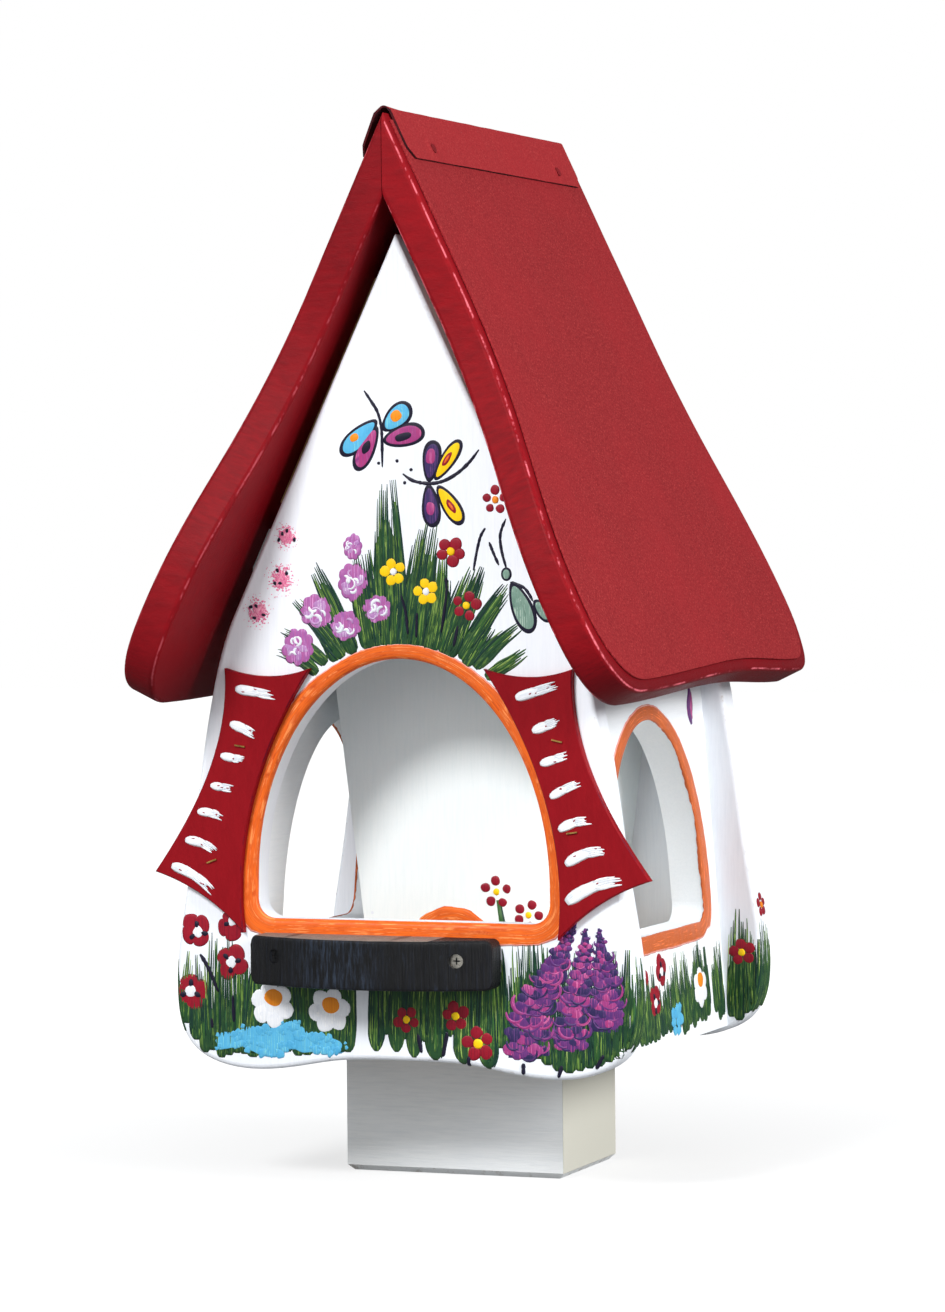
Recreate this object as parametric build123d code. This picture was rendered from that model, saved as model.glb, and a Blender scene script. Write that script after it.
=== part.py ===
"""Painted wooden bird feeder house with a seed silo, a landing ledge and a lifting roof board.

Millimetres. X is across the front, -Y is the front, +Z is up.
The origin is the centre of the base block's underside.
"""

import os
from math import atan, cos, degrees, radians, sin, sqrt, tan

from build123d import *

# Boards
BOARD = 18.0  # gables, walls, floor and roof
SILO_BOARD = 10.0
EASE = 2.5  # rounding on exposed board edges
CLEAR = 0.3  # air between the lifting roof board and what it closes on

# Base block
BLOCK_X = 120.0
BLOCK_Y = 80.0
BLOCK_Z = 94.0
BLOCK_CHAMFER = 3.0

# Body
BODY_Y = 220.0  # front face to back face
INNER_Y = BODY_Y / 2 - BOARD  # half the space between the gables
FLOOR_TOP = BLOCK_Z + BOARD

# Roof
RIDGE_Z = 541.5  # where the two outer roof faces meet
PITCH = radians(25.4)  # roof boards, measured from upright
ROOF_LENGTH = 318.0  # ridge to eave along the slope
RIDGE_FRONT = -125.0
RIDGE_BACK = 140.0
EAVE_HALF = 164.5
FLARE_START = 95.0
FLARE_END = 272.0
CORNER = 24.0

# Gables
GABLE_GAP = 7.5  # air between a gable's sloping edges and the roof boards
SLOPE_END_Z = 291.0
WAIST = ((104.0, 246.0), (111.5, 201.0), (118.5, 152.0), (124.5, 100.0))
FOOT = ((117.5, 73.0), (90.0, 60.5), (45.0, 64.5))
FOOT_CREST_Z = 67.0

# Front opening: half an ellipse over straight sides
FRONT_HALF = 79.4
FRONT_SPRING_Z = 155.0
FRONT_TOP_Z = 269.5
FRONT_SILL_Z = 137.0

# Side openings
SIDE_HALF = 69.5
SIDE_SPRING_Z = 150.0
SIDE_TOP_Z = 234.5
SIDE_SILL_Z = 124.5
OPENING_CORNER = 10.0

# Side walls lean outwards towards the foot
WALL_LEAN = 0.0746  # mm outwards per mm down
WALL_REF_X = 101.7  # outer face at WALL_REF_Z
WALL_REF_Z = 119.0
WALL_FOOT_Z = 66.5
WALL_TOP_Z = 335.0

# Silo
SILO_FRONT_Y = -41.0
SILO_FOOT_HALF = 46.4
SILO_LEAN = 0.121  # mm outwards per mm up
SILO_TOP_Z = 290.0
OUTLET_R = 17.0

# Landing ledge
LEDGE_X = -12.0  # centre; it sits a little left of the middle
LEDGE_HALF = 65.5
LEDGE_OUT = 29.0  # depth in the middle of its bowed front
LEDGE_END = 12.0  # depth at its ends
LEDGE_Z = (105.0, 130.0)
LEDGE_ROUND = 4.0
LEDGE_SCREW_DX = 49.0
LEDGE_SCREW_Z = 120.0
LEDGE_SCREW_SUNK = 1.5  # depth of a screw head below the bowed front

# Shutters
SHUTTER = 4.0
SHUTTER_TOP_Z = 264.5

# Roof covering and ridge strip
SHEET = 1.0
SHEET_INSET = 6.0
SHEET_START = 4.0
STRIP = 1.2
STRIP_FLAP = 25.5
STRIP_FRONT = -116.0
STRIP_BACK = 132.0
STRIP_CLIP = 6.0
STRIP_FOLD_R = 1.8
LEFT_FLAP_START = 3.0

# Tacks that hold the ridge strip
TACK_AT = (18.0, (-80.0, 102.0))  # down the slope, and along the ridge
TACK_HEAD_R = 2.6
TACK_HEAD = 0.8
TACK_SHANK = 8.0

# Cleats
CLEAT_Y = 14.0
CLEAT_DEEP = 18.0
CLEAT_SPAN = (80.0, 205.0)  # along the slope from the ridge

# Fasteners
BRAD_R = 0.8
SCREW_R = 1.75
SCREW_HEAD_R = 3.5
SCREW_HEAD_DEEP = 2.4
SCREW_POINT = 3.0
RECESS_LONG = 3.6
RECESS_WIDE = 0.8
RECESS_DEEP = 1.2

INWARD = sin(PITCH)
DOWN = cos(PITCH)
FAR = 1000.0


def wall_x(z, inside=False):
    """X of the right wall's outer or inner face at a height."""
    outer = WALL_REF_X - WALL_LEAN * (z - WALL_REF_Z)
    return outer - BOARD / cos(atan(WALL_LEAN)) if inside else outer


def under_roof_x(z, gap):
    """X at a height on a plane a gap inside the right roof board's underside."""
    apex = RIDGE_Z - (BOARD + gap) / INWARD
    return (apex - z) * tan(PITCH)


def under_roof_z(x, gap):
    return RIDGE_Z - (BOARD + gap) / INWARD - x / tan(PITCH)


def silo_x(z):
    """Outer half width of the silo at a height."""
    return SILO_FOOT_HALF + SILO_LEAN * (z - FLOOR_TOP)


def mirrored(shape):
    return mirror(shape, about=Plane.YZ)


def slab_xz(face, y_front, y_back):
    """Extrude an outline drawn in XZ from one depth to another."""
    return extrude(Plane.XZ.offset(-y_back) * face, amount=y_back - y_front)


def opening_face(half, spring, top, sill):
    """Egg-shaped opening: half an ellipse on straight sides with rounded lower corners."""
    arch = EllipticalCenterArc((0, spring), half, top - spring, 0, arc_size=180)
    sides = Polyline((-half, spring), (-half, sill), (half, sill), (half, spring))
    face = make_face(Curve() + [arch, sides])
    lower = face.vertices().sort_by(Axis.Y)[:2]
    return fillet(lower, OPENING_CORNER)


def gable_face():
    """Gable outline: straight slopes under the roof, flared sides and a wavy foot."""
    shoulder = (under_roof_x(SLOPE_END_Z, GABLE_GAP), SLOPE_END_Z)
    peak = (0, under_roof_z(0, GABLE_GAP))
    side = Spline(
        shoulder,
        *WAIST,
        *FOOT,
        (0, FOOT_CREST_Z),
        tangents=((INWARD, -DOWN), (-1, 0)),
    )
    half = make_face(Curve() + [Line(peak, shoulder), side, Line((0, FOOT_CREST_Z), peak)])
    return half + mirror(half, about=Plane.YZ)


def gable(y_front, y_back, with_opening):
    body = slab_xz(gable_face(), y_front, y_back)
    if with_opening:
        hole = opening_face(FRONT_HALF, FRONT_SPRING_Z, FRONT_TOP_Z, FRONT_SILL_Z)
        body -= slab_xz(hole, y_front - 1, y_back + 1)
    rims = body.edges().filter_by(lambda e: e.bounding_box().size.Y < 1e-3)
    return fillet(rims, EASE)


def right_wall(gap):
    """Leaning wall, bevelled a gap below the roof board, with an arched opening."""
    bevel_z = (under_roof_x(0, gap) - wall_x(0)) / (tan(PITCH) - WALL_LEAN)
    outline = Polyline(
        (wall_x(WALL_FOOT_Z), WALL_FOOT_Z),
        (wall_x(bevel_z), bevel_z),
        (under_roof_x(WALL_TOP_Z, gap), WALL_TOP_Z),
        (wall_x(WALL_TOP_Z, True), WALL_TOP_Z),
        (wall_x(WALL_FOOT_Z, True), WALL_FOOT_Z),
        close=True,
    )
    wall = slab_xz(make_face(outline), -INNER_Y, INNER_Y)
    hole = opening_face(SIDE_HALF, SIDE_SPRING_Z, SIDE_TOP_Z, SIDE_SILL_Z)
    return wall - extrude(Plane.YZ * hole, amount=FAR)


def floor_board():
    outline = Polyline(
        (wall_x(BLOCK_Z, True), BLOCK_Z),
        (wall_x(FLOOR_TOP, True), FLOOR_TOP),
        (-wall_x(FLOOR_TOP, True), FLOOR_TOP),
        (-wall_x(BLOCK_Z, True), BLOCK_Z),
        close=True,
    )
    return slab_xz(make_face(outline), -INNER_Y, INNER_Y)


def base_block():
    block = Pos(0, 0, BLOCK_Z / 2) * Box(BLOCK_X, BLOCK_Y, BLOCK_Z)
    foot = block.faces().sort_by(Axis.Z)[0]
    return chamfer(foot.edges(), BLOCK_CHAMFER)


def silo_front():
    """Board across the silo's front, wider at the top, with a half-round outlet at its foot."""
    outline = Polyline(
        (silo_x(FLOOR_TOP), FLOOR_TOP),
        (silo_x(SILO_TOP_Z), SILO_TOP_Z),
        (-silo_x(SILO_TOP_Z), SILO_TOP_Z),
        (-silo_x(FLOOR_TOP), FLOOR_TOP),
        close=True,
    )
    board = slab_xz(make_face(outline), SILO_FRONT_Y, SILO_FRONT_Y + SILO_BOARD)
    outlet = Pos(0, FLOOR_TOP) * Circle(OUTLET_R)
    return board - slab_xz(outlet, SILO_FRONT_Y - 1, SILO_FRONT_Y + SILO_BOARD + 1)


def silo_side():
    """Slanted board from the silo's front board to the back gable."""
    inner = SILO_BOARD / cos(atan(SILO_LEAN))
    outline = Polyline(
        (silo_x(FLOOR_TOP), FLOOR_TOP),
        (silo_x(SILO_TOP_Z), SILO_TOP_Z),
        (silo_x(SILO_TOP_Z) - inner, SILO_TOP_Z),
        (silo_x(FLOOR_TOP) - inner, FLOOR_TOP),
        close=True,
    )
    return slab_xz(make_face(outline), SILO_FRONT_Y + SILO_BOARD, INNER_Y)


def ledge():
    """Landing ledge: straight against the gable, bowed at the front, with rounded ends."""
    back, end, out = -BODY_Y / 2, -BODY_Y / 2 - LEDGE_END, -BODY_Y / 2 - LEDGE_OUT
    left, right = LEDGE_X - LEDGE_HALF, LEDGE_X + LEDGE_HALF
    low, high = LEDGE_Z
    bow = ThreePointArc((left, end), (LEDGE_X, out), (right, end))
    plan = make_face(Curve() + [bow, Polyline((right, end), (right, back), (left, back), (left, end))])
    profile = Pos(LEDGE_X, (low + high) / 2) * Rectangle(2 * LEDGE_HALF, high - low)
    profile = fillet(profile.vertices(), LEDGE_ROUND)
    return extrude(Plane.XY.offset(low) * plan, amount=high - low) & slab_xz(profile, out - 1, back)


def ledge_front(dx):
    """Depth of the ledge's bowed front at a distance from its middle."""
    sag = LEDGE_OUT - LEDGE_END
    radius = (LEDGE_HALF**2 + sag**2) / (2 * sag)
    return -BODY_Y / 2 - LEDGE_OUT + radius - sqrt(radius**2 - dx**2)


def shutter():
    """Right shutter: concave top, outer and lower edges, and an inner edge round the opening."""
    top_in, top_out = (47.0, SHUTTER_TOP_Z), (94.0, SHUTTER_TOP_Z)
    tip, foot = (134.0, 160.3), (85.0, 130.0)
    outline = Curve() + [
        ThreePointArc(top_in, (71.0, SHUTTER_TOP_Z - 4), top_out),
        Spline(top_out, (98.5, 226.0), (111.0, 196.0), tip),
        Spline(tip, (110.0, 150.0), foot),
        Spline(foot, (85.3, 168.0), (74.0, 214.0), top_in),
    ]
    board = slab_xz(make_face(outline), -BODY_Y / 2 - SHUTTER, -BODY_Y / 2)
    front = board.faces().sort_by(Axis.Y)[0]
    return chamfer(front.edges(), 0.5)


def roof_plane(lift=0.0):
    """Plane on the right roof board's outer face: X runs down the slope, Y along the ridge."""
    origin = (lift * DOWN, 0, RIDGE_Z + lift * INWARD)
    return Plane(origin=origin, x_dir=(INWARD, 0, -DOWN), z_dir=(DOWN, 0, INWARD))


def roof_outline(start, inset):
    """Roof board outline: flared front and back edges, round corners and a slightly wavy eave."""
    front, back = RIDGE_FRONT + inset, RIDGE_BACK - inset
    low_front, low_back = -EAVE_HALF + inset, EAVE_HALF - inset
    end = ROOF_LENGTH - inset
    turn = FLARE_END + CORNER - inset
    middle = (FLARE_START + FLARE_END) / 2
    return make_face(
        Curve()
        + [
            Line((start, back), (start, front)),
            Line((start, front), (FLARE_START, front)),
            Spline(
                (FLARE_START, front),
                (middle, front - 0.42 * (front - low_front)),
                (FLARE_END, low_front),
                tangents=((1, 0), (1, 0)),
            ),
            Spline(
                (FLARE_END, low_front),
                (turn + 0.3 * CORNER, low_front + 0.3 * CORNER),
                (end, low_front + 1.6 * CORNER),
                tangents=((1, 0), (0, 1)),
            ),
            Spline(
                (end, low_front + 1.6 * CORNER),
                (end - 5, 0.35 * low_back),
                (end - 2, low_back - 1.2 * CORNER),
                tangents=((0, 1), (0, 1)),
            ),
            Spline(
                (end - 2, low_back - 1.2 * CORNER),
                (turn + 0.25 * CORNER, low_back - 0.3 * CORNER),
                (FLARE_END, low_back),
                tangents=((0, 1), (-1, 0)),
            ),
            Spline(
                (FLARE_END, low_back),
                (middle + 10, back + 0.42 * (low_back - back)),
                (FLARE_START + 20, back),
                tangents=((-1, 0), (-1, 0)),
            ),
            Line((FLARE_START + 20, back), (start, back)),
        ]
    )


def roof_board():
    board = extrude(roof_plane() * roof_outline(-1, 0), amount=-BOARD)
    rims = [e for e in board.edges() if e.length > 15 and abs(e.center().Y) > 0]
    outer = board.faces().sort_by(Axis((0, 0, 0), (DOWN, 0, INWARD)))
    edges = (outer[-1].edges() + outer[0].edges()).filter_by(lambda e: e in rims)
    edges = edges.filter_by(lambda e: e.bounding_box().min.X > -10)
    long_edges = edges.filter_by(lambda e: e.bounding_box().max.X > 15)
    board = fillet(long_edges, EASE)
    right_half = Pos(FAR / 2, 0, 0) * Box(FAR, FAR, 2 * FAR)
    return board & right_half


def roof_sheet():
    return extrude(roof_plane() * roof_outline(SHEET_START, SHEET_INSET), amount=SHEET)


def strip_outline(start):
    return make_face(
        Polyline(
            (start, STRIP_FRONT),
            (STRIP_FLAP - STRIP_CLIP, STRIP_FRONT),
            (STRIP_FLAP, STRIP_FRONT + STRIP_CLIP),
            (STRIP_FLAP, STRIP_BACK - STRIP_CLIP),
            (STRIP_FLAP - STRIP_CLIP, STRIP_BACK),
            (start, STRIP_BACK),
            close=True,
        )
    )


def right_flap():
    """Right half of the ridge strip, with the round fold up to the top of the ridge."""
    lift = SHEET + STRIP - STRIP_FOLD_R
    centre_z = RIDGE_Z + lift / INWARD
    tangent_start = -lift / tan(PITCH)
    flap = extrude(roof_plane(SHEET) * strip_outline(tangent_start), amount=STRIP)
    low = degrees(PITCH)
    fold = make_face(
        Curve()
        + [
            CenterArc((0, centre_z), STRIP_FOLD_R, low, 90 - low),
            Line((0, centre_z + STRIP_FOLD_R), (0, centre_z + STRIP_FOLD_R - STRIP)),
            CenterArc((0, centre_z), STRIP_FOLD_R - STRIP, low, 90 - low),
            Line(
                ((STRIP_FOLD_R - STRIP) * DOWN, centre_z + (STRIP_FOLD_R - STRIP) * INWARD),
                (STRIP_FOLD_R * DOWN, centre_z + STRIP_FOLD_R * INWARD),
            ),
        ]
    )
    return flap + slab_xz(fold, STRIP_FRONT, STRIP_BACK)


def left_flap():
    return mirrored(extrude(roof_plane(SHEET) * strip_outline(LEFT_FLAP_START), amount=STRIP))


def ridge_tacks():
    """Flat-headed tacks through the right flap of the ridge strip."""
    tacks = []
    down, places = TACK_AT
    for y in places:
        spot = roof_plane(SHEET + STRIP) * Pos(down, y)
        head = spot * Pos(0, 0, TACK_HEAD / 2) * Cylinder(TACK_HEAD_R, TACK_HEAD)
        head = fillet(head.edges().sort_by(Axis((0, 0, 0), (DOWN, 0, INWARD)))[-1], 0.35)
        shank = spot * Pos(0, 0, -TACK_SHANK / 2) * Cylinder(BRAD_R, TACK_SHANK)
        tacks.append(head + shank)
    return tacks


def brad(start, direction, length):
    """Thin headless nail from a point along a direction."""
    plane = Plane(origin=start, z_dir=direction)
    return extrude(plane * Circle(BRAD_R), amount=length)


def screw_hole(start, direction, length):
    """The space that a countersunk screw fills; start is the middle of its head."""
    plane = Plane(origin=start, z_dir=direction)
    profile = Polyline(
        (0, 0),
        (SCREW_HEAD_R, 0),
        (SCREW_R, SCREW_HEAD_DEEP),
        (SCREW_R, length - SCREW_POINT),
        (0.2, length),
        (0, length),
        close=True,
    )
    upright = revolve(Plane.XZ * make_face(profile), axis=Axis.Z)
    return plane * upright


def screw(start, direction, length):
    """Countersunk screw with a cross recess."""
    plane = Plane(origin=start, z_dir=direction)
    body = screw_hole(start, direction, length)
    for turn in (0, 90):
        slot = Box(RECESS_LONG, RECESS_WIDE, 2 * RECESS_DEEP)
        body -= plane * Rot(0, 0, turn) * slot
    return body


def staple(x, z, turn):
    """Fine wire staple; its crown lies on the shutter and its legs reach into the gable."""
    crown, wire, leg = 5.6, 0.9, 10.0
    y = -BODY_Y / 2 - SHUTTER
    shape = Pos(0, -wire / 2, 0) * Box(crown, wire, 0.7)
    for side in (-1, 1):
        shape += Pos(side * (crown - wire) / 2, leg / 2, 0) * Box(wire, leg, 0.7)
    return Pos(x, y, z) * Rot(0, turn, 0) * shape


def cleat(gap):
    """Batten inside the front gable, a gap below the right roof board."""
    start, end = CLEAT_SPAN
    middle = (start + end) / 2
    body = Pos(middle, 0, -BOARD - gap - CLEAT_DEEP / 2) * Box(end - start, CLEAT_Y, CLEAT_DEEP)
    return Pos(0, -INNER_Y + CLEAT_Y / 2, 0) * (roof_plane() * body)


def group(solids):
    return Compound(children=solids)


def cut(board, holes):
    for hole in holes:
        board -= hole
    return board


def in_rafter(side, end, down):
    """Where a brad enters a gable to reach the cleat behind it."""
    deep = BOARD + CLEAT_DEEP - 4.0
    x = down * INWARD - deep * DOWN
    z = RIDGE_Z - down * DOWN - deep * INWARD
    return (side * x, end * BODY_Y / 2, z)


sides = (-1, 1)
ends = (-1, 1)

# Brads: gables to walls and floor, silo boards, and cleats
body_brads = [
    brad((side * (wall_x(z) - BOARD / 2), end * BODY_Y / 2, z), (0, -end, 0), 40.0)
    for side in sides
    for end in ends
    for z in (90.0, 270.0)
]
body_brads += [
    brad((side * 50.0, end * BODY_Y / 2, BLOCK_Z + BOARD / 2), (0, -end, 0), 40.0)
    for side in sides
    for end in ends
]
silo_brads = []
cleat_brads = []
for side in sides:
    for z in (135.0, 265.0):
        x = side * (silo_x(z) - SILO_BOARD / 2)
        silo_brads.append(brad((x, SILO_FRONT_Y, z), (0, 1, 0), 26.0))
        silo_brads.append(brad((x, BODY_Y / 2, z), (0, -1, 0), 34.0))
    for end in ends:
        for down in (100.0, 185.0):
            cleat_brads.append(brad(in_rafter(side, end, down), (0, -end, 0), 29.0))

# Screws
block_spots = [((x, y, FLOOR_TOP), (0, 0, -1), 45.0) for x in (-22.0, 22.0) for y in (-20.0, 25.0)]
ledge_head_y = ledge_front(LEDGE_SCREW_DX) + LEDGE_SCREW_SUNK
ledge_spots = [
    ((LEDGE_X + side * LEDGE_SCREW_DX, ledge_head_y, LEDGE_SCREW_Z), (0, 1, 0), 34.0)
    for side in sides
]
roof_spots = [
    ((down * INWARD, y, RIDGE_Z - down * DOWN), (-DOWN, 0, -INWARD), 33.0)
    for down, y in ((231.0, -60.0), (231.0, 60.0), (120.0, -85.0), (120.0, 85.0))
]
block_holes = [screw_hole(*spot) for spot in block_spots]
ledge_holes = [screw_hole(*spot) for spot in ledge_spots]
ledge_mouths = [
    extrude(Plane(origin=start, z_dir=(0, -1, 0)) * Circle(SCREW_HEAD_R), amount=LEDGE_OUT)
    for start, _, _ in ledge_spots
]
roof_holes = [screw_hole(*spot) for spot in roof_spots]

staples = [
    staple(-85.6, 225.0, 8.0),
    staple(-102.0, 166.2, -20.0),
    staple(85.9, 229.0, 12.0),
    staple(93.4, 183.6, -8.0),
]
right_tacks = ridge_tacks()
left_tacks = [mirrored(tack) for tack in right_tacks]

front_cleat = cleat(0)
low_cleat = mirrored(cleat(CLEAR))
board = roof_board()
sheet = roof_sheet()
lid_side = Pos(-FAR / 2 - CLEAR, 0, 0) * Box(FAR, FAR, 2 * FAR)

nodes = {
    "front_gable": cut(
        gable(-BODY_Y / 2, -INNER_Y, True), body_brads + cleat_brads + ledge_holes + staples
    ),
    "back_gable": cut(gable(INNER_Y, BODY_Y / 2, False), body_brads + cleat_brads + silo_brads),
    "wall_right": cut(right_wall(0), body_brads + roof_holes),
    "wall_left": cut(mirrored(right_wall(CLEAR)), body_brads),
    "floor_board": cut(floor_board(), body_brads + block_holes),
    "base_block": cut(base_block(), block_holes),
    "silo_front": cut(silo_front(), silo_brads),
    "silo_side_right": cut(silo_side(), silo_brads),
    "silo_side_left": cut(mirrored(silo_side()), silo_brads),
    "landing_ledge": cut(ledge(), ledge_holes + ledge_mouths),
    "shutter_right": cut(shutter(), staples),
    "shutter_left": cut(mirrored(shutter()), staples),
    "cleat_front_right": cut(front_cleat, cleat_brads + roof_holes),
    "cleat_back_right": cut(mirror(front_cleat, about=Plane.XZ), cleat_brads + roof_holes),
    "cleat_front_left": cut(low_cleat, cleat_brads),
    "cleat_back_left": cut(mirror(low_cleat, about=Plane.XZ), cleat_brads),
    "roof_board_right": cut(board, roof_holes + right_tacks),
    "roof_board_left": cut(mirrored(board) & lid_side, left_tacks),
    "roof_sheet_right": cut(sheet, right_tacks),
    "roof_sheet_left": cut(mirrored(sheet), left_tacks),
    "ridge_flap_right": cut(right_flap(), right_tacks),
    "ridge_flap_left": cut(left_flap(), left_tacks),
    "ridge_tacks_right": group(right_tacks),
    "ridge_tacks_left": group(left_tacks),
    "shutter_staples": group(staples),
    "ledge_screws": group([screw(*spot) for spot in ledge_spots]),
    "block_screws": group([screw(*spot) for spot in block_spots]),
    "roof_screws": group([screw(*spot) for spot in roof_spots]),
    "body_brads": group(body_brads),
    "silo_brads": group(silo_brads),
    "cleat_brads": group(cleat_brads),
}

os.makedirs("parts", exist_ok=True)
for name, shape in nodes.items():
    export_step(shape, f"parts/{name}.step")
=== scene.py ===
"""Looks of the painted bird feeder house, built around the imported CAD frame."""

import math
import random

import bmesh
import bpy
from mathutils import Matrix, Vector, kdtree, noise


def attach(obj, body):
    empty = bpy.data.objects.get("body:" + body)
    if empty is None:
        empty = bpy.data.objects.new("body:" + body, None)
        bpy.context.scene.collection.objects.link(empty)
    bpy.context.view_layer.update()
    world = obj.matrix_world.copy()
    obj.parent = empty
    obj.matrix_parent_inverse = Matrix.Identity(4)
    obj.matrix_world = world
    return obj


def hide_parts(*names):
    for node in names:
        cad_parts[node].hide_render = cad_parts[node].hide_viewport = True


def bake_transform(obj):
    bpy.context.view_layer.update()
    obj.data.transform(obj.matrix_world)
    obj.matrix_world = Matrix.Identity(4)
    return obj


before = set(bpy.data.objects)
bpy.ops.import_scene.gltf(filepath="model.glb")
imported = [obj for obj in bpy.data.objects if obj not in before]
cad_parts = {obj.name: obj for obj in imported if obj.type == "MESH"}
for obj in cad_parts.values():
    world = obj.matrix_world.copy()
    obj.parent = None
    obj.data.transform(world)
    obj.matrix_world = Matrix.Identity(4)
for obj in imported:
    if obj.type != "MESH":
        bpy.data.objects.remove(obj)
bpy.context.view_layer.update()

MM = 0.001
SIDES = (("right", 1), ("left", -1))

# Places taken over from the design, in millimetres
FRONT_Y = -110.0
BACK_Y = 110.0
WING_Y = 92.0
SILO_Y = -41.0
SHUTTER_Y = -114.0
WALL_X = 101.7  # half the width across the side walls' outer faces, at the height WALL_Z
WALL_Z = 119.0
WALL_LEAN = 0.0746  # how far the walls draw in for each millimetre of height
RIDGE_Z = 541.5
PITCH = math.radians(25.4)
SHEET = 1.0  # thickness of the roof covering
STRIP = 1.2  # thickness of the ridge strip
STRIP_FLAP = 25.5  # from the fold down to either edge
STRIP_FRONT = -116.0
STRIP_BACK = 132.0
STRIP_CLIP = 6.0  # cut off each corner
STRIP_FOLD = 1.8  # outer radius of the fold
STRIP_STATIONS = 124
TACK_DOWN = 18.0  # from the fold down to the tacks
CURL_HIGH = 5.2  # how far the strip's free left corner has curled off the roof
CURL_LONG = 34.0
TACK_PLACES = (-80.0, 102.0)
DIMPLE_HIGH = 0.8  # the covering stands up in a ring round each tack
DIMPLE_REACH = 4.6
DIMPLE_WIDE = 1.3
LEDGE_X = -12.0
LEDGE_HALF = 65.5
LEDGE_OUT = 29.0
LEDGE_END = 12.0
LEDGE_Z = (105.0, 130.0)
LEDGE_ROUND = 4.0
LEDGE_SCREW_DX = 49.0
LEDGE_SCREW_Z = 120.0
LEDGE_SCREW_SUNK = 1.5
LEDGE_STATIONS = 190
LEDGE_BARE_TO = 24.0  # the top is worn bare from the left end up to here
SCREW_HEAD_R = 3.5
EASE = 2.5  # radius of a gable's rounded arrises

# Where a gable's outline is looked for
OPENING_HALF = 83.0
OPENING_LOW = 134.0
OPENING_HIGH = 273.0
GABLE_MIDDLE_Z = 200.0
EDGE_LOW = 62
EDGE_HIGH = 140

# Grain of the boards, as stretches of a texture along X, Y and Z
UPRIGHT = (14, 14, 1)
ACROSS = (1, 14, 14)
ALONG_Y = (14, 1, 14)

# Arrises are marked where a face turns this far, and this fast: worn paint on the white boards, rubbed paint
# with painted highlight and shade on the red ones
WEAR_START = 0.985
WEAR_RISE = 3.6

# Hand of the painter
ART_ROUGH = 0.42
LINE_ENDS = 0.4  # share of a thin line's width left at its ends
FLOWER_DABS = 5
DAISY_PETALS = 6
WING_EGG = 0.25  # how much a butterfly wing widens towards its far end
WING_RIM = 0.85
BORDER_LIFT = 0.3
BORDER_STEP = 2.0

# The studio
FLOOR_GLOW = 0.7
FLOOR_SIZE = 6.0
AMBIENT = 0.28
LIGHTS_AIM_Z = 0.26


# ---------------------------------------------------------------- materials


def srgb(r, g, b):
    """Linear colour from 0 to 255 display values."""

    def linear(v):
        v /= 255.0
        return v / 12.92 if v <= 0.04045 else ((v + 0.055) / 1.055) ** 2.4

    return (linear(r), linear(g), linear(b), 1.0)


class Nodes:
    """A short way to write one node material."""

    def __init__(self, name, roughness=0.5, specular=0.5):
        self.material = bpy.data.materials.new(name)
        self.material.use_nodes = True
        self.tree = self.material.node_tree
        self.shader = self.tree.nodes["Principled BSDF"]
        self.shader.inputs["Roughness"].default_value = roughness
        self.shader.inputs["Specular IOR Level"].default_value = specular
        self.where = self.add("ShaderNodeTexCoord").outputs["Object"]

    def add(self, kind, **settings):
        node = self.tree.nodes.new(kind)
        for key, value in settings.items():
            setattr(node, key, value)
        return node

    def link(self, source, target):
        """Joins two sockets, or sets a plain value on the target."""
        if hasattr(source, "is_output"):
            self.tree.links.new(source, target)
        else:
            target.default_value = source

    def attribute(self, name):
        return self.add("ShaderNodeAttribute", attribute_name=name).outputs["Fac"]

    def stretched(self, scale, source=None):
        node = self.add("ShaderNodeMapping")
        self.link(source or self.where, node.inputs["Vector"])
        node.inputs["Scale"].default_value = scale
        return node.outputs["Vector"]

    def noise(self, scale, detail=3.0, rough=0.55, stretch=None, source=None, distortion=0.0):
        node = self.add("ShaderNodeTexNoise")
        place = self.stretched(stretch, source) if stretch else (source or self.where)
        self.link(place, node.inputs["Vector"])
        node.inputs["Scale"].default_value = scale
        node.inputs["Detail"].default_value = detail
        node.inputs["Roughness"].default_value = rough
        node.inputs["Distortion"].default_value = distortion
        return node.outputs["Fac"]

    def ramp(self, factor, *stops):
        """Colour ramp; stops are (position, colour or grey)."""
        node = self.add("ShaderNodeValToRGB")
        marks = node.color_ramp.elements
        while len(marks) < len(stops):
            marks.new(0.5)
        for mark, (place, colour) in zip(marks, stops):
            mark.position = place
            mark.color = colour if hasattr(colour, "__len__") else (colour, colour, colour, 1)
        self.link(factor, node.inputs["Fac"])
        return node.outputs["Color"]

    def mix(self, factor, a, b):
        node = self.add("ShaderNodeMix", data_type="RGBA")
        self.link(factor, node.inputs["Factor"])
        self.link(a, node.inputs["A"])
        self.link(b, node.inputs["B"])
        return node.outputs["Result"]

    def math(self, operation, a, b=0.0, clamp=False):
        node = self.add("ShaderNodeMath", operation=operation, use_clamp=clamp)
        self.link(a, node.inputs[0])
        self.link(b, node.inputs[1])
        return node.outputs["Value"]

    def place(self, axis):
        """The object's own X, Y or Z."""
        node = self.add("ShaderNodeSeparateXYZ")
        self.link(self.where, node.inputs["Vector"])
        return node.outputs[axis]

    def bump(self, height, strength, distance, normal=None):
        node = self.add("ShaderNodeBump")
        node.inputs["Strength"].default_value = strength
        node.inputs["Distance"].default_value = distance
        self.link(height, node.inputs["Height"])
        if normal is not None:
            self.link(normal, node.inputs["Normal"])
        return node.outputs["Normal"]

    def finish(self, colour, normal, roughness=None):
        self.link(colour, self.shader.inputs["Base Color"])
        self.link(normal, self.shader.inputs["Normal"])
        if roughness is not None:
            self.link(roughness, self.shader.inputs["Roughness"])
        return self.material


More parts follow.
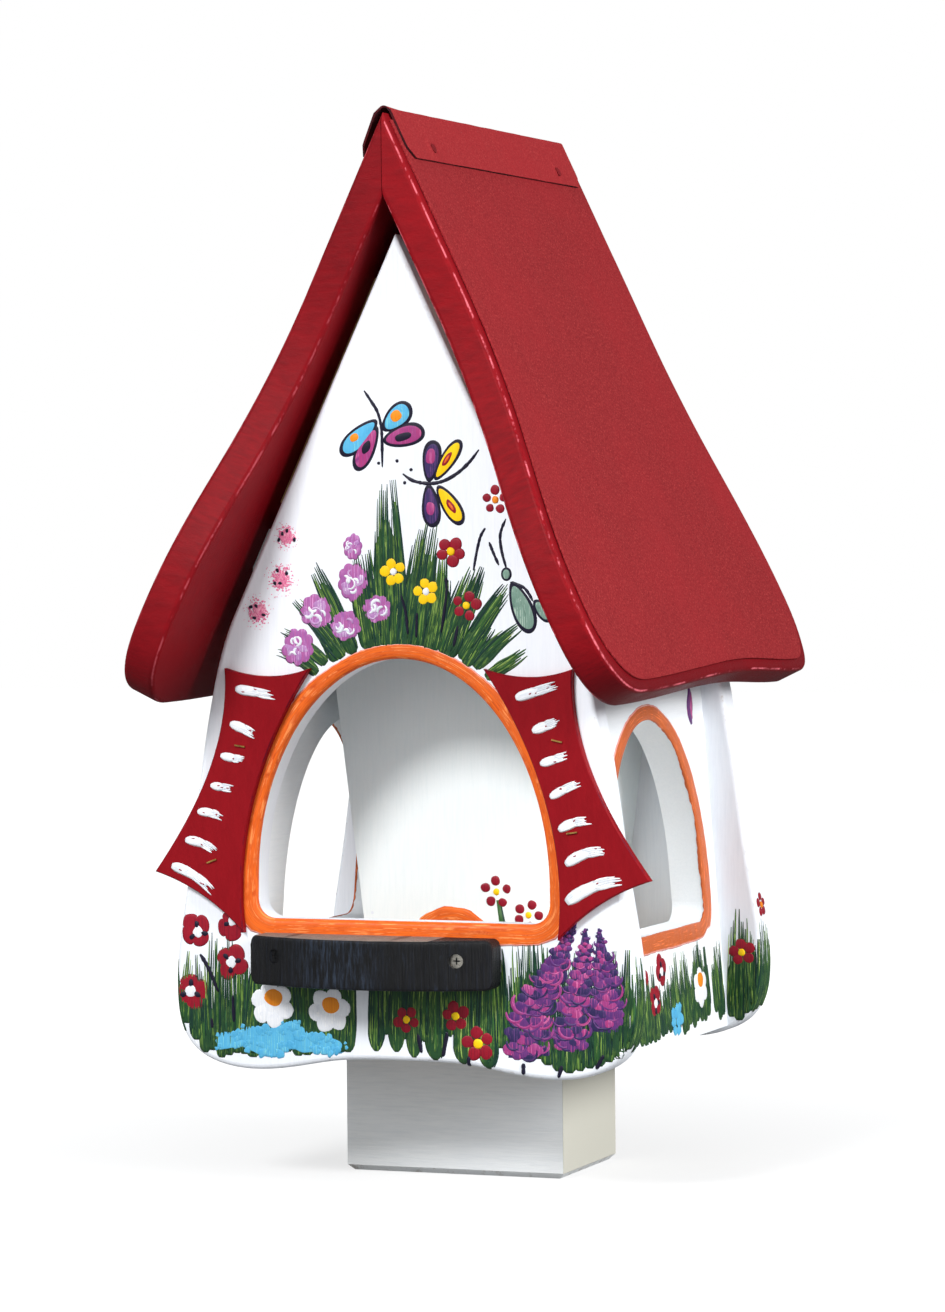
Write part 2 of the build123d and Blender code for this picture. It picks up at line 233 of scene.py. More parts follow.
def white_paint(name, grain, tint=(240, 244, 250), shade=(222, 228, 237), shaded_past_x=None):
    """Thin white emulsion on softwood: brush lines along the grain, faint patches, worn edges.
    Past that distance along X, given as the last argument, the colour turns greyer: a painted shade on the
    block's right-hand face."""
    n = Nodes(name, roughness=0.55, specular=0.3)
    streaks = n.noise(60, 5, 0.6, stretch=grain)
    patches = n.noise(9, 4, 0.55)
    lines = n.noise(240, 3, 0.5, stretch=grain)
    colour = n.mix(n.ramp(streaks, (0.42, 0), (0.78, 0.4)), srgb(*tint), srgb(*shade))
    colour = n.mix(n.ramp(patches, (0.5, 0), (0.8, 0.4)), colour, srgb(230, 235, 242))
    # Painted shade: past the given X the faces are painted greyer
    if shaded_past_x:
        end = n.math("GREATER_THAN", n.place("X"), shaded_past_x)
        colour = n.mix(end, colour, srgb(204, 202, 190))
    chips = n.ramp(n.noise(150, 4, 0.7), (0.54, 0), (0.68, 0.7))
    worn = n.math("MULTIPLY", n.attribute("wear"), chips)
    colour = n.mix(worn, colour, srgb(186, 178, 172))
    normal = n.bump(streaks, 0.14, 0.0008)
    normal = n.bump(lines, 0.16, 0.0003, normal)
    normal = n.bump(n.noise(34, 3, 0.5), 0.12, 0.002, normal)
    return n.finish(colour, normal, n.ramp(patches, (0.3, 0.48), (0.7, 0.64)))


def red_gloss(name, grain, base, deep, painted_light=(226, 112, 124), arris_mark_strength=0.85, foot=None):
    """Brushed oil paint on sawn board edges, with broken marks along the arrises: on the roof boards pink
    rubbed-through paint that also stands in for a painted highlight, on the shutters a dark painted shade.
    Below the height foot it is painted darker: a painted shade towards the lower end."""
    rough = 0.5
    n = Nodes(name, roughness=rough, specular=0.09)
    streaks = n.noise(70, 5, 0.62, stretch=grain)
    cloud = n.noise(14, 3, 0.5)
    colour = n.mix(n.ramp(streaks, (0.3, 0), (0.75, 0.8)), srgb(*base), srgb(*deep))
    colour = n.mix(n.ramp(cloud, (0.4, 0), (0.8, 0.45)), colour, srgb(146, 14, 24))
    # Painted shade: the boards are painted darker towards their lower end
    if foot:
        low = n.math("ADD", n.place("Z"), n.math("MULTIPLY", streaks, 0.02))
        colour = n.mix(n.ramp(low, (foot, 0.62), (foot + 0.04, 0)), colour, srgb(44, 6, 14))
    # Broken marks on the arrises: on the roof boards pink rubbed paint that is also a painted highlight; on
    # the shutters a dark painted shade
    chips = n.ramp(n.noise(130, 4, 0.7, stretch=(1, 0.45, 0.45)), (0.47, 0), (0.56, arris_mark_strength))
    worn = n.math("MULTIPLY", n.ramp(n.attribute("wear"), (0.45, 0), (0.85, 1)), chips)
    colour = n.mix(worn, colour, srgb(*painted_light))
    normal = n.bump(streaks, 0.35, 0.0009)
    normal = n.bump(n.noise(420, 3, 0.5, stretch=grain), 0.2, 0.0003, normal)
    return n.finish(colour, normal, n.ramp(cloud, (0.3, rough - 0.06), (0.7, rough + 0.12)))


def roof_covering(name, base=(139, 37, 41), deep=(110, 23, 30), light=(172, 64, 62)):
    """Mineral-faced roof covering under paint: fine cross ribs, coarse grains and a dull face."""
    n = Nodes(name, roughness=0.9, specular=0.08)
    ribs = n.add("ShaderNodeTexWave", wave_type="BANDS", bands_direction="Y", wave_profile="SIN")
    n.link(n.where, ribs.inputs["Vector"])
    ribs.inputs["Scale"].default_value = 230
    ribs.inputs["Distortion"].default_value = 2.2
    ribs.inputs["Detail"].default_value = 3
    ribs.inputs["Detail Scale"].default_value = 2.5
    grains = n.noise(800, 3, 0.7)
    specks = n.noise(1000, 2, 0.6)
    patches = n.noise(11, 5, 0.6)
    streak = n.noise(26, 4, 0.6, stretch=(1, 5, 1))
    colour = n.mix(n.ramp(grains, (0.36, 0), (0.66, 0.9)), srgb(*base), srgb(*deep))
    colour = n.mix(n.ramp(specks, (0.55, 0), (0.7, 0.85)), colour, srgb(*light))
    colour = n.mix(n.ramp(ribs.outputs["Fac"], (0.3, 0), (1.0, 0.22)), colour, srgb(*light))
    colour = n.mix(n.ramp(patches, (0.42, 0), (0.7, 0.5)), colour, srgb(152, 37, 43))
    colour = n.mix(n.ramp(streak, (0.5, 0), (0.8, 0.4)), colour, srgb(142, 42, 46))
    normal = n.bump(ribs.outputs["Fac"], 0.3, 0.0004)
    normal = n.bump(grains, 0.75, 0.0005, normal)
    normal = n.bump(patches, 0.15, 0.002, normal)
    return n.finish(colour, normal, n.ramp(grains, (0.3, 0.8), (0.7, 0.96)))


def black_paint(name):
    """Black paint on a saw-cut edge: upright ridges and streaks painted with a blue sheen, a painted
    highlight band left of the middle, and bare wood where it wore off.
    """
    n = Nodes(name, roughness=0.45, specular=0.26)
    ridges = n.noise(95, 5, 0.65, stretch=(9, 9, 0.35))
    dabs = n.noise(120, 4, 0.6, stretch=(2.4, 2.4, 0.6))
    colour = n.mix(n.ramp(ridges, (0.5, 0), (0.74, 0.8)), srgb(8, 9, 12), srgb(22, 28, 40))
    colour = n.mix(n.ramp(dabs, (0.62, 0), (0.75, 0.35)), colour, srgb(52, 64, 84))
    # Painted highlight: a band of blue-grey streaks across the bow, left of its middle
    along = n.math("ADD", n.place("X"), 0.1)
    painted_light = n.ramp(along, (0.045, 0), (0.066, 1), (0.086, 1), (0.104, 0))
    highlight_streaks = n.ramp(n.noise(260, 5, 0.7, stretch=(2.6, 1, 0.3)), (0.46, 0), (0.66, 0.4))
    colour = n.mix(n.math("MULTIPLY", painted_light, highlight_streaks), colour, srgb(70, 84, 106))
    bare = n.ramp(n.attribute("wear"), (0.4, 0), (0.6, 1))
    wood = n.mix(n.noise(90, 4, 0.6, stretch=(1, 6, 1)), srgb(160, 144, 132), srgb(92, 80, 76))
    colour = n.mix(bare, colour, wood)
    normal = n.bump(ridges, 0.9, 0.0014)
    return n.finish(colour, normal, n.ramp(dabs, (0.3, 0.36), (0.7, 0.62)))


def bare_wood(name):
    """Unpainted softwood with long upright rings."""
    grain = (1, 1, 0.08)
    n = Nodes(name, roughness=0.7, specular=0.3)
    rings = n.noise(42, 5, 0.6, stretch=grain, distortion=1.2)
    fibre = n.noise(300, 3, 0.6, stretch=grain)
    colour = n.mix(n.ramp(rings, (0.35, 0), (0.65, 1)), srgb(206, 170, 122), srgb(160, 118, 74))
    colour = n.mix(n.ramp(fibre, (0.4, 0), (0.7, 0.4)), colour, srgb(120, 86, 54))
    return n.finish(colour, n.bump(fibre, 0.3, 0.0004))


def metal(name, colour, roughness):
    """Dull metal with fine scratches and a little dirt."""
    n = Nodes(name, roughness=roughness, specular=0.5)
    n.shader.inputs["Metallic"].default_value = 1.0
    scratch = n.noise(900, 3, 0.6)
    shade = n.mix(n.ramp(n.noise(420, 3, 0.6), (0.5, 0), (0.8, 0.7)), srgb(*colour), srgb(70, 64, 58))
    normal = n.bump(scratch, 0.2, 0.0001)
    return n.finish(shade, normal, n.ramp(scratch, (0.3, roughness - 0.08), (0.7, roughness + 0.18)))


def art_paint(name, main, second, third, amount, fine=260):
    """Artist's acrylic: streaks run along each mark, and each mark has its own tone."""
    n = Nodes(name, roughness=ART_ROUGH, specular=0.25)
    along = n.add("ShaderNodeUVMap", uv_map="stroke").outputs["UV"]
    streaks = n.noise(1.0, 4, 0.6, stretch=(fine / 100, 0.05, 1), source=along)
    swirl = n.noise(fine, 4, 0.6, distortion=0.6)
    tone = n.attribute("tone")
    colour = n.mix(n.ramp(streaks, (0.4, 0), (0.62, amount * 1.6)), srgb(*main), srgb(*second))
    colour = n.mix(n.math("MULTIPLY", tone, 0.85, clamp=True), colour, srgb(*second))
    if third:
        pick = n.ramp(streaks, (0.52, 0), (0.6, 1))
        spread = n.ramp(swirl, (0.38, 0), (0.54, 1))
        colour = n.mix(n.math("MULTIPLY", pick, spread), colour, srgb(*third))
    normal = n.bump(n.math("ADD", streaks, swirl), 0.45, 0.0004)
    return n.finish(colour, normal, n.ramp(swirl, (0.3, ART_ROUGH - 0.1), (0.7, ART_ROUGH + 0.15)))


def floor_paper(name):
    """Seamless white paper; the camera sees it lifted to white, as a photographer exposes it."""
    n = Nodes(name, roughness=0.9, specular=0.05)
    colour = n.mix(n.noise(3, 4), srgb(150, 150, 150), srgb(145, 146, 147))
    length = n.add("ShaderNodeVectorMath", operation="LENGTH")
    n.link(n.where, length.inputs["Vector"])
    glow = n.ramp(length.outputs["Value"], (0.12, FLOOR_GLOW), (0.75, 1.0))
    seen = n.add("ShaderNodeLightPath").outputs["Is Camera Ray"]
    n.shader.inputs["Emission Color"].default_value = (1, 1, 1, 1)
    n.link(n.math("MULTIPLY", seen, glow), n.shader.inputs["Emission Strength"])
    return n.finish(colour, n.bump(n.noise(200, 3), 0.05, 0.0005))


WHITE_UP = white_paint("white_upright", UPRIGHT)
# The side walls' white is a lighter copy of the gables' white: painted light on the walls
WHITE_SIDE_LIT = white_paint("white_side_lit", ALONG_Y, tint=(244, 248, 251), shade=(228, 235, 240))
# The block's right-hand face, past X 0.0598, is painted greyer as a painted shade
WHITE_BLOCK = white_paint("white_block", ACROSS, (246, 248, 248), (216, 222, 226), shaded_past_x=0.0598)
# The silo's white is a lighter copy as well: painted light inside the house
WHITE_SILO_LIT = white_paint("white_silo_lit", UPRIGHT, tint=(248, 253, 253), shade=(230, 240, 242))
# foot is the height below which the roof boards get a painted shade
SLOPE = dict(grain=(1, 16, 3), foot=0.248)
RED_ROOF = red_gloss("red_roof", base=(134, 10, 20), deep=(94, 6, 15), **SLOPE)
# The left board's red is a darker copy of the right board's, a painted shade, and its arris marks are fainter
RED_ROOF_LEFT_SHADED = red_gloss("red_roof_left_shaded", base=(122, 9, 19), deep=(84, 6, 14), arris_mark_strength=0.3, **SLOPE)
# The shutters' arrises get a dark red: a painted shade along their edges
RED_SHUTTER = red_gloss("red_shutter", (3, 3, 1), (138, 13, 24), (122, 9, 20), (96, 12, 34))
COVERING = roof_covering("roof_covering")
STRIP_FACE = roof_covering("strip_face", base=(152, 41, 45), deep=(130, 31, 37))
# The painted-over tack heads get a darker red than the strip: painted shade for the dark crescent round each
# raised head
TACK_HEAD = roof_covering("tack_head", base=(104, 22, 28), deep=(70, 14, 20), light=(150, 50, 52))
STRIP_UNDER = roof_covering("strip_under", base=(24, 22, 26), deep=(14, 12, 16), light=(40, 34, 40))
BLACK = black_paint("black_paint")
WOOD = bare_wood("bare_wood")
STEEL = metal("zinc_steel", (190, 186, 176), 0.28)
BRASS = metal("brass_wire", (188, 150, 84), 0.35)

# Artist's colours: main, second, third or none, how much of the second, and how coarse if not usual
PAINT_LOOKS = {
    "green": ((37, 76, 40), (22, 56, 40), (104, 138, 58), 0.4, 110),
    "leaf": ((56, 100, 44), (34, 76, 38), (146, 174, 86), 0.5, 130),
    "lime": ((150, 182, 84), (112, 152, 62), (206, 220, 140), 0.6, 240),
    "teal": ((20, 60, 48), (14, 42, 38), (46, 92, 56), 0.5, 180),
    "orange": ((238, 108, 28), (202, 76, 22), (250, 146, 78), 0.65, 110),
    "rust": ((200, 100, 50), (184, 86, 42), (238, 128, 74), 0.4, 120),
    "blush": ((246, 168, 152), (240, 140, 130), (252, 214, 206), 0.5, 160),
    "crimson": ((158, 16, 38), (122, 10, 36), None, 0.5),
    "navy": ((24, 20, 46), (14, 12, 30), None, 0.4),
    "white": ((244, 246, 250), (214, 220, 232), (255, 255, 255), 0.4),
    "dash": ((242, 245, 249), (196, 204, 214), (255, 255, 255), 0.5, 200),
    "yellow": ((252, 212, 10), (246, 190, 4), None, 0.4),
    "amber": ((244, 150, 30), (226, 118, 24), None, 0.4),
    "sky": ((92, 184, 226), (70, 160, 208), (122, 204, 220), 0.5, 180),
    "pink": ((214, 92, 140), (232, 128, 166), (248, 190, 206), 0.7, 300),
    "magenta": ((176, 56, 118), (142, 56, 124), (208, 104, 156), 0.8, 160),
    "lilac": ((196, 150, 200), (168, 112, 176), (240, 226, 244), 0.6, 200),
    "plum": ((112, 54, 122), (78, 42, 108), (172, 74, 136), 0.7, 120),
    "indigo": ((58, 44, 96), (40, 34, 78), (110, 66, 130), 0.6, 140),
    "sage": ((128, 160, 146), (92, 128, 112), (184, 206, 192), 0.6, 200),
    "orchid": ((178, 96, 158), (150, 88, 160), (216, 150, 204), 0.7, 120),
}
PAINTS = {name: art_paint(f"paint_{name}", *look) for name, look in PAINT_LOOKS.items()}


# ---------------------------------------------------------------- meshes


def link(obj):
    bpy.context.scene.collection.objects.link(obj)
    return obj


def made_from(bm, name, *materials):
    """Turns finished mesh data into an object in the scene."""
    mesh = bpy.data.meshes.new(name)
    bm.to_mesh(mesh)
    bm.free()
    for material in materials:
        mesh.materials.append(material)
    return link(bpy.data.objects.new(name, mesh))


def smooth(mesh, angle):
    """Shades a mesh smooth, apart from edges sharper than the angle."""
    mesh.polygons.foreach_set("use_smooth", [True] * len(mesh.polygons))
    mesh.set_sharp_from_angle(angle=math.radians(angle))


def add_wear(obj, face):
    """Marks the rounded arrises between a board's faces, which look along one direction, and its rim."""
    mesh = obj.data
    wear = mesh.attributes.new("wear", "FLOAT", "POINT")
    values = []
    for vertex in mesh.vertices:
        facing = abs(vertex.normal.dot(face))
        flat = max(facing, math.sqrt(max(0.0, 1 - facing * facing)))
        values.append(max(0.0, min(1.0, WEAR_RISE * (WEAR_START - flat))))
    wear.data.foreach_set("value", values)


def slope_axes(sign):
    """Directions down the slope, along the ridge and out of the roof; sign 1 is the right side."""
    down = Vector((sign * math.sin(PITCH), 0, -math.cos(PITCH)))
    out = Vector((sign * math.cos(PITCH), 0, math.sin(PITCH)))
    return down, Vector((0, 1, 0)), out


def dress(node, material, face=None):
    """Paints a node; a board also gets its arrises marked round its faces, for worn paint, and on the red
    boards for painted highlight and shade.
    """
    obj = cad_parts[node]
    obj.data.materials.clear()
    obj.data.materials.append(material)
    if face is not None:
        add_wear(obj, face)


class Rim:
    """A gable's flat face and the rounding round its outline."""

    def __init__(self, node, face_y, facing):
        self.face_y, self.facing = face_y, facing
        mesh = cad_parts[node].data
        ease_y = face_y - facing * EASE
        places = [v.co / MM for v in mesh.vertices]
        self.points = []
        for edge in mesh.edges:
            a, b = (places[i] for i in edge.vertices)
            middle = (a + b) / 2
            opening = abs(middle.x) < OPENING_HALF and OPENING_LOW < middle.z < OPENING_HIGH
            if abs(a.y - ease_y) > 0.02 or abs(b.y - ease_y) > 0.02 or opening:
                continue
            run = b - a
            out = Vector((run.z, 0, -run.x)).normalized()
            if out.dot(middle - Vector((0, 0, GABLE_MIDDLE_Z))) < 0:
                out.negate()
            steps = max(1, int(run.length / 0.5))
            self.points += [(a + run * k / steps, out) for k in range(steps + 1)]
        self.tree = kdtree.KDTree(len(self.points))
        for i, (point, _) in enumerate(self.points):
            self.tree.insert((point.x, point.z, 0), i)
        self.tree.balance()

    def half_width(self, z):
        """How far the outline reaches sideways at a height."""
        return max(abs(p.x) for p, _ in self.points if abs(p.z - z) < 0.6)

    def place(self, u, v, h):
        """A place on the face, across and up it and h proud of it, which follows the rounding."""
        near, index, _ = self.tree.find((u, v, 0))
        out = self.points[index][1]
        depth = (near.x - u) * out.x + (near.y - v) * out.z
        over = EASE - depth
        if over <= 0:
            return Vector((u, self.face_y + self.facing * h, v)) * MM
        sine = min(over / EASE, 0.97)
        slide = (EASE + h) * sine - over
        y = self.face_y - self.facing * (EASE - (EASE + h) * math.sqrt(1 - sine * sine))
        return Vector((u + out.x * slide, y, v + out.z * slide)) * MM


FRONT_RIM = Rim("front_gable", FRONT_Y, -1)
BACK_RIM = Rim("back_gable", BACK_Y, 1)


def back(u, v, h):
    """Placement on the back gable; u runs to the right for someone who stands behind it."""
    return BACK_RIM.place(-u, v, h)


def flat_face(y, sign=1):
    """Placement on a flat face that looks to the front; u runs to the right, or left for sign -1."""

    def place(u, v, h):
        return Vector((sign * u, y - h, v)) * MM

    return place


def gable_edge(rim, sign, first_y):
    """Placement on the upright edge of a gable, with its rounding at first_y; u is the depth."""
    table = {z: rim.half_width(z) for z in range(EDGE_LOW, EDGE_HIGH)}

    def place(u, v, h):
        low = min(max(int(v), EDGE_LOW), EDGE_HIGH - 2)
        share = min(max(v - low, 0.0), 1.0)
        limit = table[low] * (1 - share) + table[low + 1] * share
        over = min(max(0.0, first_y + EASE - u), EASE * 0.97)
        sine = over / EASE
        y = u if over <= 0 else first_y + EASE - (EASE + h) * sine
        x = limit - EASE + (EASE + h) * math.sqrt(1 - sine * sine)
        return Vector((sign * x, y, v)) * MM

    return place


def side_wall(sign):
    """Placement on a leaning wall's outer face; u runs towards the back on the right wall."""
    tilt = math.atan(WALL_LEAN)

    def place(u, v, h):
        x = WALL_X - WALL_LEAN * (v - WALL_Z) + h * math.cos(tilt)
        return Vector((sign * x, u, v + h * math.sin(tilt))) * MM

    return place


def middle_of(outline):
    return (sum(p[0] for p in outline) / len(outline), sum(p[1] for p in outline) / len(outline))


class Film:
    """Collects paint marks on one surface and turns them into one mesh."""

    SUNK = 0.08  # how far a mark's edge reaches into the surface

    def __init__(self, name, place, seed, slot="painted_wood"):
        self.name, self.place, self.slot = name, place, slot
        self.bm = bmesh.new()
        self.uv = self.bm.loops.layers.uv.new("stroke")
        self.tone = self.bm.verts.layers.float.new("tone")
        self.paints = []
        self.random = random.Random(seed)

    def paint_index(self, paint):
        if paint not in self.paints:
            self.paints.append(paint)
        return self.paints.index(paint)

    def face(self, verts, paint, uvs):
        """Adds one face, unless it is there already."""
        try:
            made = self.bm.faces.new(verts)
        except ValueError:
            return
        made.material_index = self.paint_index(paint)
        made.smooth = True
        for loop, uv in zip(made.loops, uvs):
            loop[self.uv].uv = uv

    def vert(self, u, v, h, tone):
        made = self.bm.verts.new(self.place(u, v, h))
        made[self.tone] = tone
        return made

    def ribbon(self, points, widths, paint, lift=0.25, tone=0.0):
        """A brush line with a rounded back and a width for each of its points."""
        rows = []
        shift = self.random.uniform(0, 900)
        length = 0.0
        for i, (u, v) in enumerate(points):
            before = points[max(i - 1, 0)]
            after = points[min(i + 1, len(points) - 1)]
            du, dv = after[0] - before[0], after[1] - before[1]
            size = math.hypot(du, dv) or 1.0
            nu, nv = -dv / size, du / size
            if i:
                length += math.hypot(u - points[i - 1][0], v - points[i - 1][1])
            half = widths[i] / 2
            rise = lift * min(1.0, 0.35 + half)
            shoulder = rise * 0.85
            heights = (-self.SUNK, shoulder, rise, shoulder, -self.SUNK)
            row = []
            for side, height in zip((-1.0, -0.6, 0.0, 0.6, 1.0), heights):
                row.append(self.vert(u + nu * half * side, v + nv * half * side, height, tone))
            rows.append((row, half, length))
        for (a, wa, la), (b, wb, lb) in zip(rows, rows[1:]):
            for k in range(4):
                sides = (k / 2 - 1, (k + 1) / 2 - 1)
                uvs = [(side * wa + shift, la) for side in sides]
                uvs += [(side * wb + shift, lb) for side in reversed(sides)]
                self.face([a[k], a[k + 1], b[k + 1], b[k]], paint, uvs)
            self.face([a[4], a[0], b[0], b[4]], paint, [(shift, la)] * 4)
        for (row, _, along), flip in ((rows[0], False), (rows[-1], True)):
            ends = list(reversed(row)) if flip else row
            self.face(list(reversed(ends)), paint, [(shift, along)] * 5)

    def blob(self, outline, paint, lift=0.35, tone=0.0, soft=0.72, centre=None):
        """A closed dab: its outline lies on the surface and it swells towards its middle."""
        shift = self.random.uniform(0, 900)
        centre = centre or middle_of(outline)
        rings = []
        for scale, height in ((1.0, -self.SUNK), (0.5 + soft / 2, lift * 0.7), (soft, lift)):
            ring = []
            for u, v in outline:
                pu, pv = centre[0] + (u - centre[0]) * scale, centre[1] + (v - centre[1]) * scale
                ring.append((self.vert(pu, pv, height, tone), (pu + shift, pv)))
            rings.append(ring)
        top = (self.vert(*centre, lift * 1.05, tone), (centre[0] + shift, centre[1]))
        low = (self.vert(*centre, -self.SUNK, tone), (centre[0] + shift, centre[1]))
        count = len(outline)
        for k in range(count):
            j = (k + 1) % count
            for a, b in zip(rings, rings[1:]):
                four = (a[k], a[j], b[j], b[k])
                self.face([f[0] for f in four], paint, [f[1] for f in four])
            three = (rings[-1][k], rings[-1][j], top)
            self.face([f[0] for f in three], paint, [f[1] for f in three])
            three = (rings[0][j], rings[0][k], low)
            self.face([f[0] for f in three], paint, [f[1] for f in three])

    def finish(self):
        bmesh.ops.recalc_face_normals(self.bm, faces=self.bm.faces)
        obj = made_from(self.bm, self.name, *(PAINTS[paint] for paint in self.paints))
        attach(obj, "house")


# ---------------------------------------------------------------- paint marks


def ellipse(centre, long, wide, turn=0.0, count=28, egg=0.0):
    """Outline of an ellipse; egg makes the far end wider."""
    cu, cv = centre
    ct, st = math.cos(math.radians(turn)), math.sin(math.radians(turn))
    out = []
    for k in range(count):
        a = 2 * math.pi * k / count
        p, q = long * math.cos(a), wide * math.sin(a) * (1 + egg * math.cos(a))
        out.append((cu + p * ct - q * st, cv + p * st + q * ct))
    return out


def uneven(outline, rng, amount, waves=3):
    """Pushes an outline in and out by a few slow waves, as a hand does."""
    cu, cv = middle_of(outline)
    phases = [(rng.uniform(0, 6.28), rng.uniform(0.4, 1.0), k + 2) for k in range(waves)]
    out = []
    for i, (u, v) in enumerate(outline):
        a = 2 * math.pi * i / len(outline)
        push = 1 + amount * sum(w * math.sin(n * a + p) for p, w, n in phases) / waves
        out.append((cu + (u - cu) * push, cv + (v - cv) * push))
    return out


def curve(points, count=10):
    """Points along a smooth line through the given ones."""
    out = []
    for i in range(len(points) - 1):
        p0 = points[max(i - 1, 0)]
        p1, p2 = points[i], points[i + 1]
        p3 = points[min(i + 2, len(points) - 1)]
        for k in range(count):
            t = k / count
            out.append(
                tuple(
                    0.5
                    * (
                        2 * p1[c]
                        + (p2[c] - p0[c]) * t
                        + (2 * p0[c] - 5 * p1[c] + 4 * p2[c] - p3[c]) * t * t
                        + (3 * p1[c] - p0[c] - 3 * p2[c] + p3[c]) * t**3
                    )
                    for c in (0, 1)
                )
            )
    out.append(points[-1])
    return out


def line(film, points, width, lift=0.4):
    """A thin dark line from a liner brush, which wavers and thins at its ends."""
    path = curve(points, 8)
    rng = film.random
    last = len(path) - 1
    widths = []
    for i in range(len(path)):
        taper = min(1.0, LINE_ENDS + 4.0 * min(i, last - i) / max(last, 1))
        widths.append(1.3 * width * taper * rng.uniform(0.82, 1.15))
    film.ribbon(path, widths, "navy", lift)


def blade(film, points, width, lift=0.16, ragged=0.3, foot=0.75):
    """One pull of a loaded flat brush: a solid body that breaks up into separate bristle lines."""
    rng = film.random
    path = curve(points, 8)
    last = len(path) - 1
    run = [0.0]
    for (u0, v0), (u1, v1) in zip(path, path[1:]):
        run.append(run[-1] + math.hypot(u1 - u0, v1 - v0))

    def wide(i):
        t = i / last
        return width * (foot + (1 - foot) * min(1.0, t / 0.3)) * (1.0 - 0.3 * t * t)

    def shifted(i, across):
        before, after = path[max(i - 1, 0)], path[min(i + 1, last)]
        du, dv = after[0] - before[0], after[1] - before[1]
        size = math.hypot(du, dv) or 1.0
        return (path[i][0] - dv / size * across, path[i][1] + du / size * across)

    solid = max(4, min(last + 1, round((1.0 - ragged * rng.uniform(0.5, 0.95)) * last) + 1))
    sizes = []
    for i in range(solid):
        start = min(1.0, (run[i] + 0.6) / (width * 0.4))
        stop = min(1.0, (run[solid - 1] - run[i] + 0.3) / (width * 0.9))
        sizes.append(wide(i) * math.sqrt(1 - (1 - start) ** 2) * (0.25 + 0.75 * stop))
    film.ribbon(path[:solid], sizes, "green", lift, tone=rng.uniform(0, 0.35))
    bristles = max(4, round(width / 1.5))
    for b in range(bristles):
        side = (b + 0.5) / bristles * 2 - 1
        first = round(rng.uniform(0.05, 0.45) * solid)
        reach = 1.04 - ragged * rng.uniform(0, 1.1) * (0.35 + 0.65 * abs(side))
        end = max(first + 4, min(last, round(reach * last)))
        if end > last:
            first, end = last - 4, last
        wander = rng.uniform(-0.2, 0.2)
        strand = []
        for i in range(first, end + 1):
            strand.append(shifted(i, side * wide(i) * 0.46 + wander * math.sin(i * 0.8)))
        fat = width / bristles * rng.uniform(0.75, 1.25)
        count = len(strand) - 1
        sizes = []
        for k in range(count + 1):
            sizes.append(max(0.3, fat * min(1.0, 0.5 + k * 0.3) * (1 - 0.72 * (k / count) ** 3)))
        paint = rng.choices(("green", "leaf", "teal"), weights=(6, 3, 3))[0]
        if abs(side) > 0.85:
            paint = "teal"
        film.ribbon(strand, sizes, paint, lift + rng.uniform(0.03, 0.14), tone=rng.uniform(0, 0.9))
    for _ in range(max(1, round(width / 4.5))):
        side = rng.uniform(-0.8, 0.8)
        first = round(rng.uniform(0.1, 0.6) * last)
        end = min(last, first + max(3, round(rng.uniform(0.2, 0.42) * last)))
        if end - first < 3:
            continue
        strand = [shifted(i, side * wide(i) * 0.46) for i in range(first, end + 1)]
        sizes = [0.12 + 0.42 * math.sin(math.pi * (k + 0.5) / len(strand)) for k in range(len(strand))]
        film.ribbon(strand, sizes, "lime", lift + 0.2, tone=rng.uniform(0, 0.8))


def dot(film, centre, radius, paint, lift=0.5, wobble=0.08):
    """A round dab from the end of a brush."""
    outline = ellipse(centre, radius, radius * film.random.uniform(0.92, 1.05), count=18)
    outline = uneven(outline, film.random, wobble)
    film.blob(outline, paint, lift, tone=film.random.uniform(0, 0.5), soft=0.6)


def dot_flower(film, centre, reach, size, turn, petal="crimson", eye="yellow", eye_size=None):
    """A flower of round dabs about a dab of another colour."""
    for k in range(FLOWER_DABS):
        a = math.radians(turn + 360.0 * k / FLOWER_DABS + film.random.uniform(-7, 7))
        r = reach * film.random.uniform(0.93, 1.06)
        place = (centre[0] + r * math.cos(a), centre[1] + r * math.sin(a))
        dot(film, place, size * film.random.uniform(0.9, 1.1), petal, 0.45)
    dot(film, centre, eye_size or size * 0.72, eye, 0.75)


def lobed(centre, radius, lobes, depth, turn):
    """Outline of a circle drawn in between its lobes."""
    count = 72
    out = []
    for k in range(count):
        a = 2 * math.pi * k / count
        r = radius * (1 - depth + depth * abs(math.cos(lobes * (a - math.radians(turn)) / 2)) ** 0.6)
        out.append((centre[0] + r * math.cos(a), centre[1] + r * math.sin(a)))
    return out


def poppy(film, centre, radius, eye, turn):
    """A four-lobed crimson head with a white eye and three dark spots."""
    film.blob(uneven(lobed(centre, radius, 4, 0.26, turn), film.random, 0.12), "crimson", 0.3)
    dot(film, eye, radius * 0.36, "white", 0.5, 0.2)
    for k, reach in enumerate((0.42, 0.44, 0.40)):
        a = math.radians(turn + 75 + 120 * k + film.random.uniform(-14, 14))
        spot = (eye[0] + radius * reach * math.cos(a), eye[1] + radius * reach * math.sin(a))
        outline = ellipse(spot, radius * 0.21, radius * 0.15, math.degrees(a), 14)
        film.blob(uneven(outline, film.random, 0.2), "navy", 0.66)


def daisy(film, centre, radius, eye, turn):
    """White petals about an amber eye, which sits off their middle."""
    for k in range(DAISY_PETALS):
        a = math.radians(turn + 360.0 * k / DAISY_PETALS)
        place = (centre[0] + radius * 0.56 * math.cos(a), centre[1] + radius * 0.56 * math.sin(a))
        outline = ellipse(place, radius * 0.5, radius * 0.46, math.degrees(a), 22)
        film.blob(uneven(outline, film.random, 0.1), "white", 0.4 + 0.03 * k)
    film.blob(ellipse(centre, radius * 0.45, radius * 0.45, 0, 20), "white", 0.5)
    film.blob(uneven(ellipse(eye, radius * 0.42, radius * 0.5, 90, 20), film.random, 0.1), "amber", 0.72)


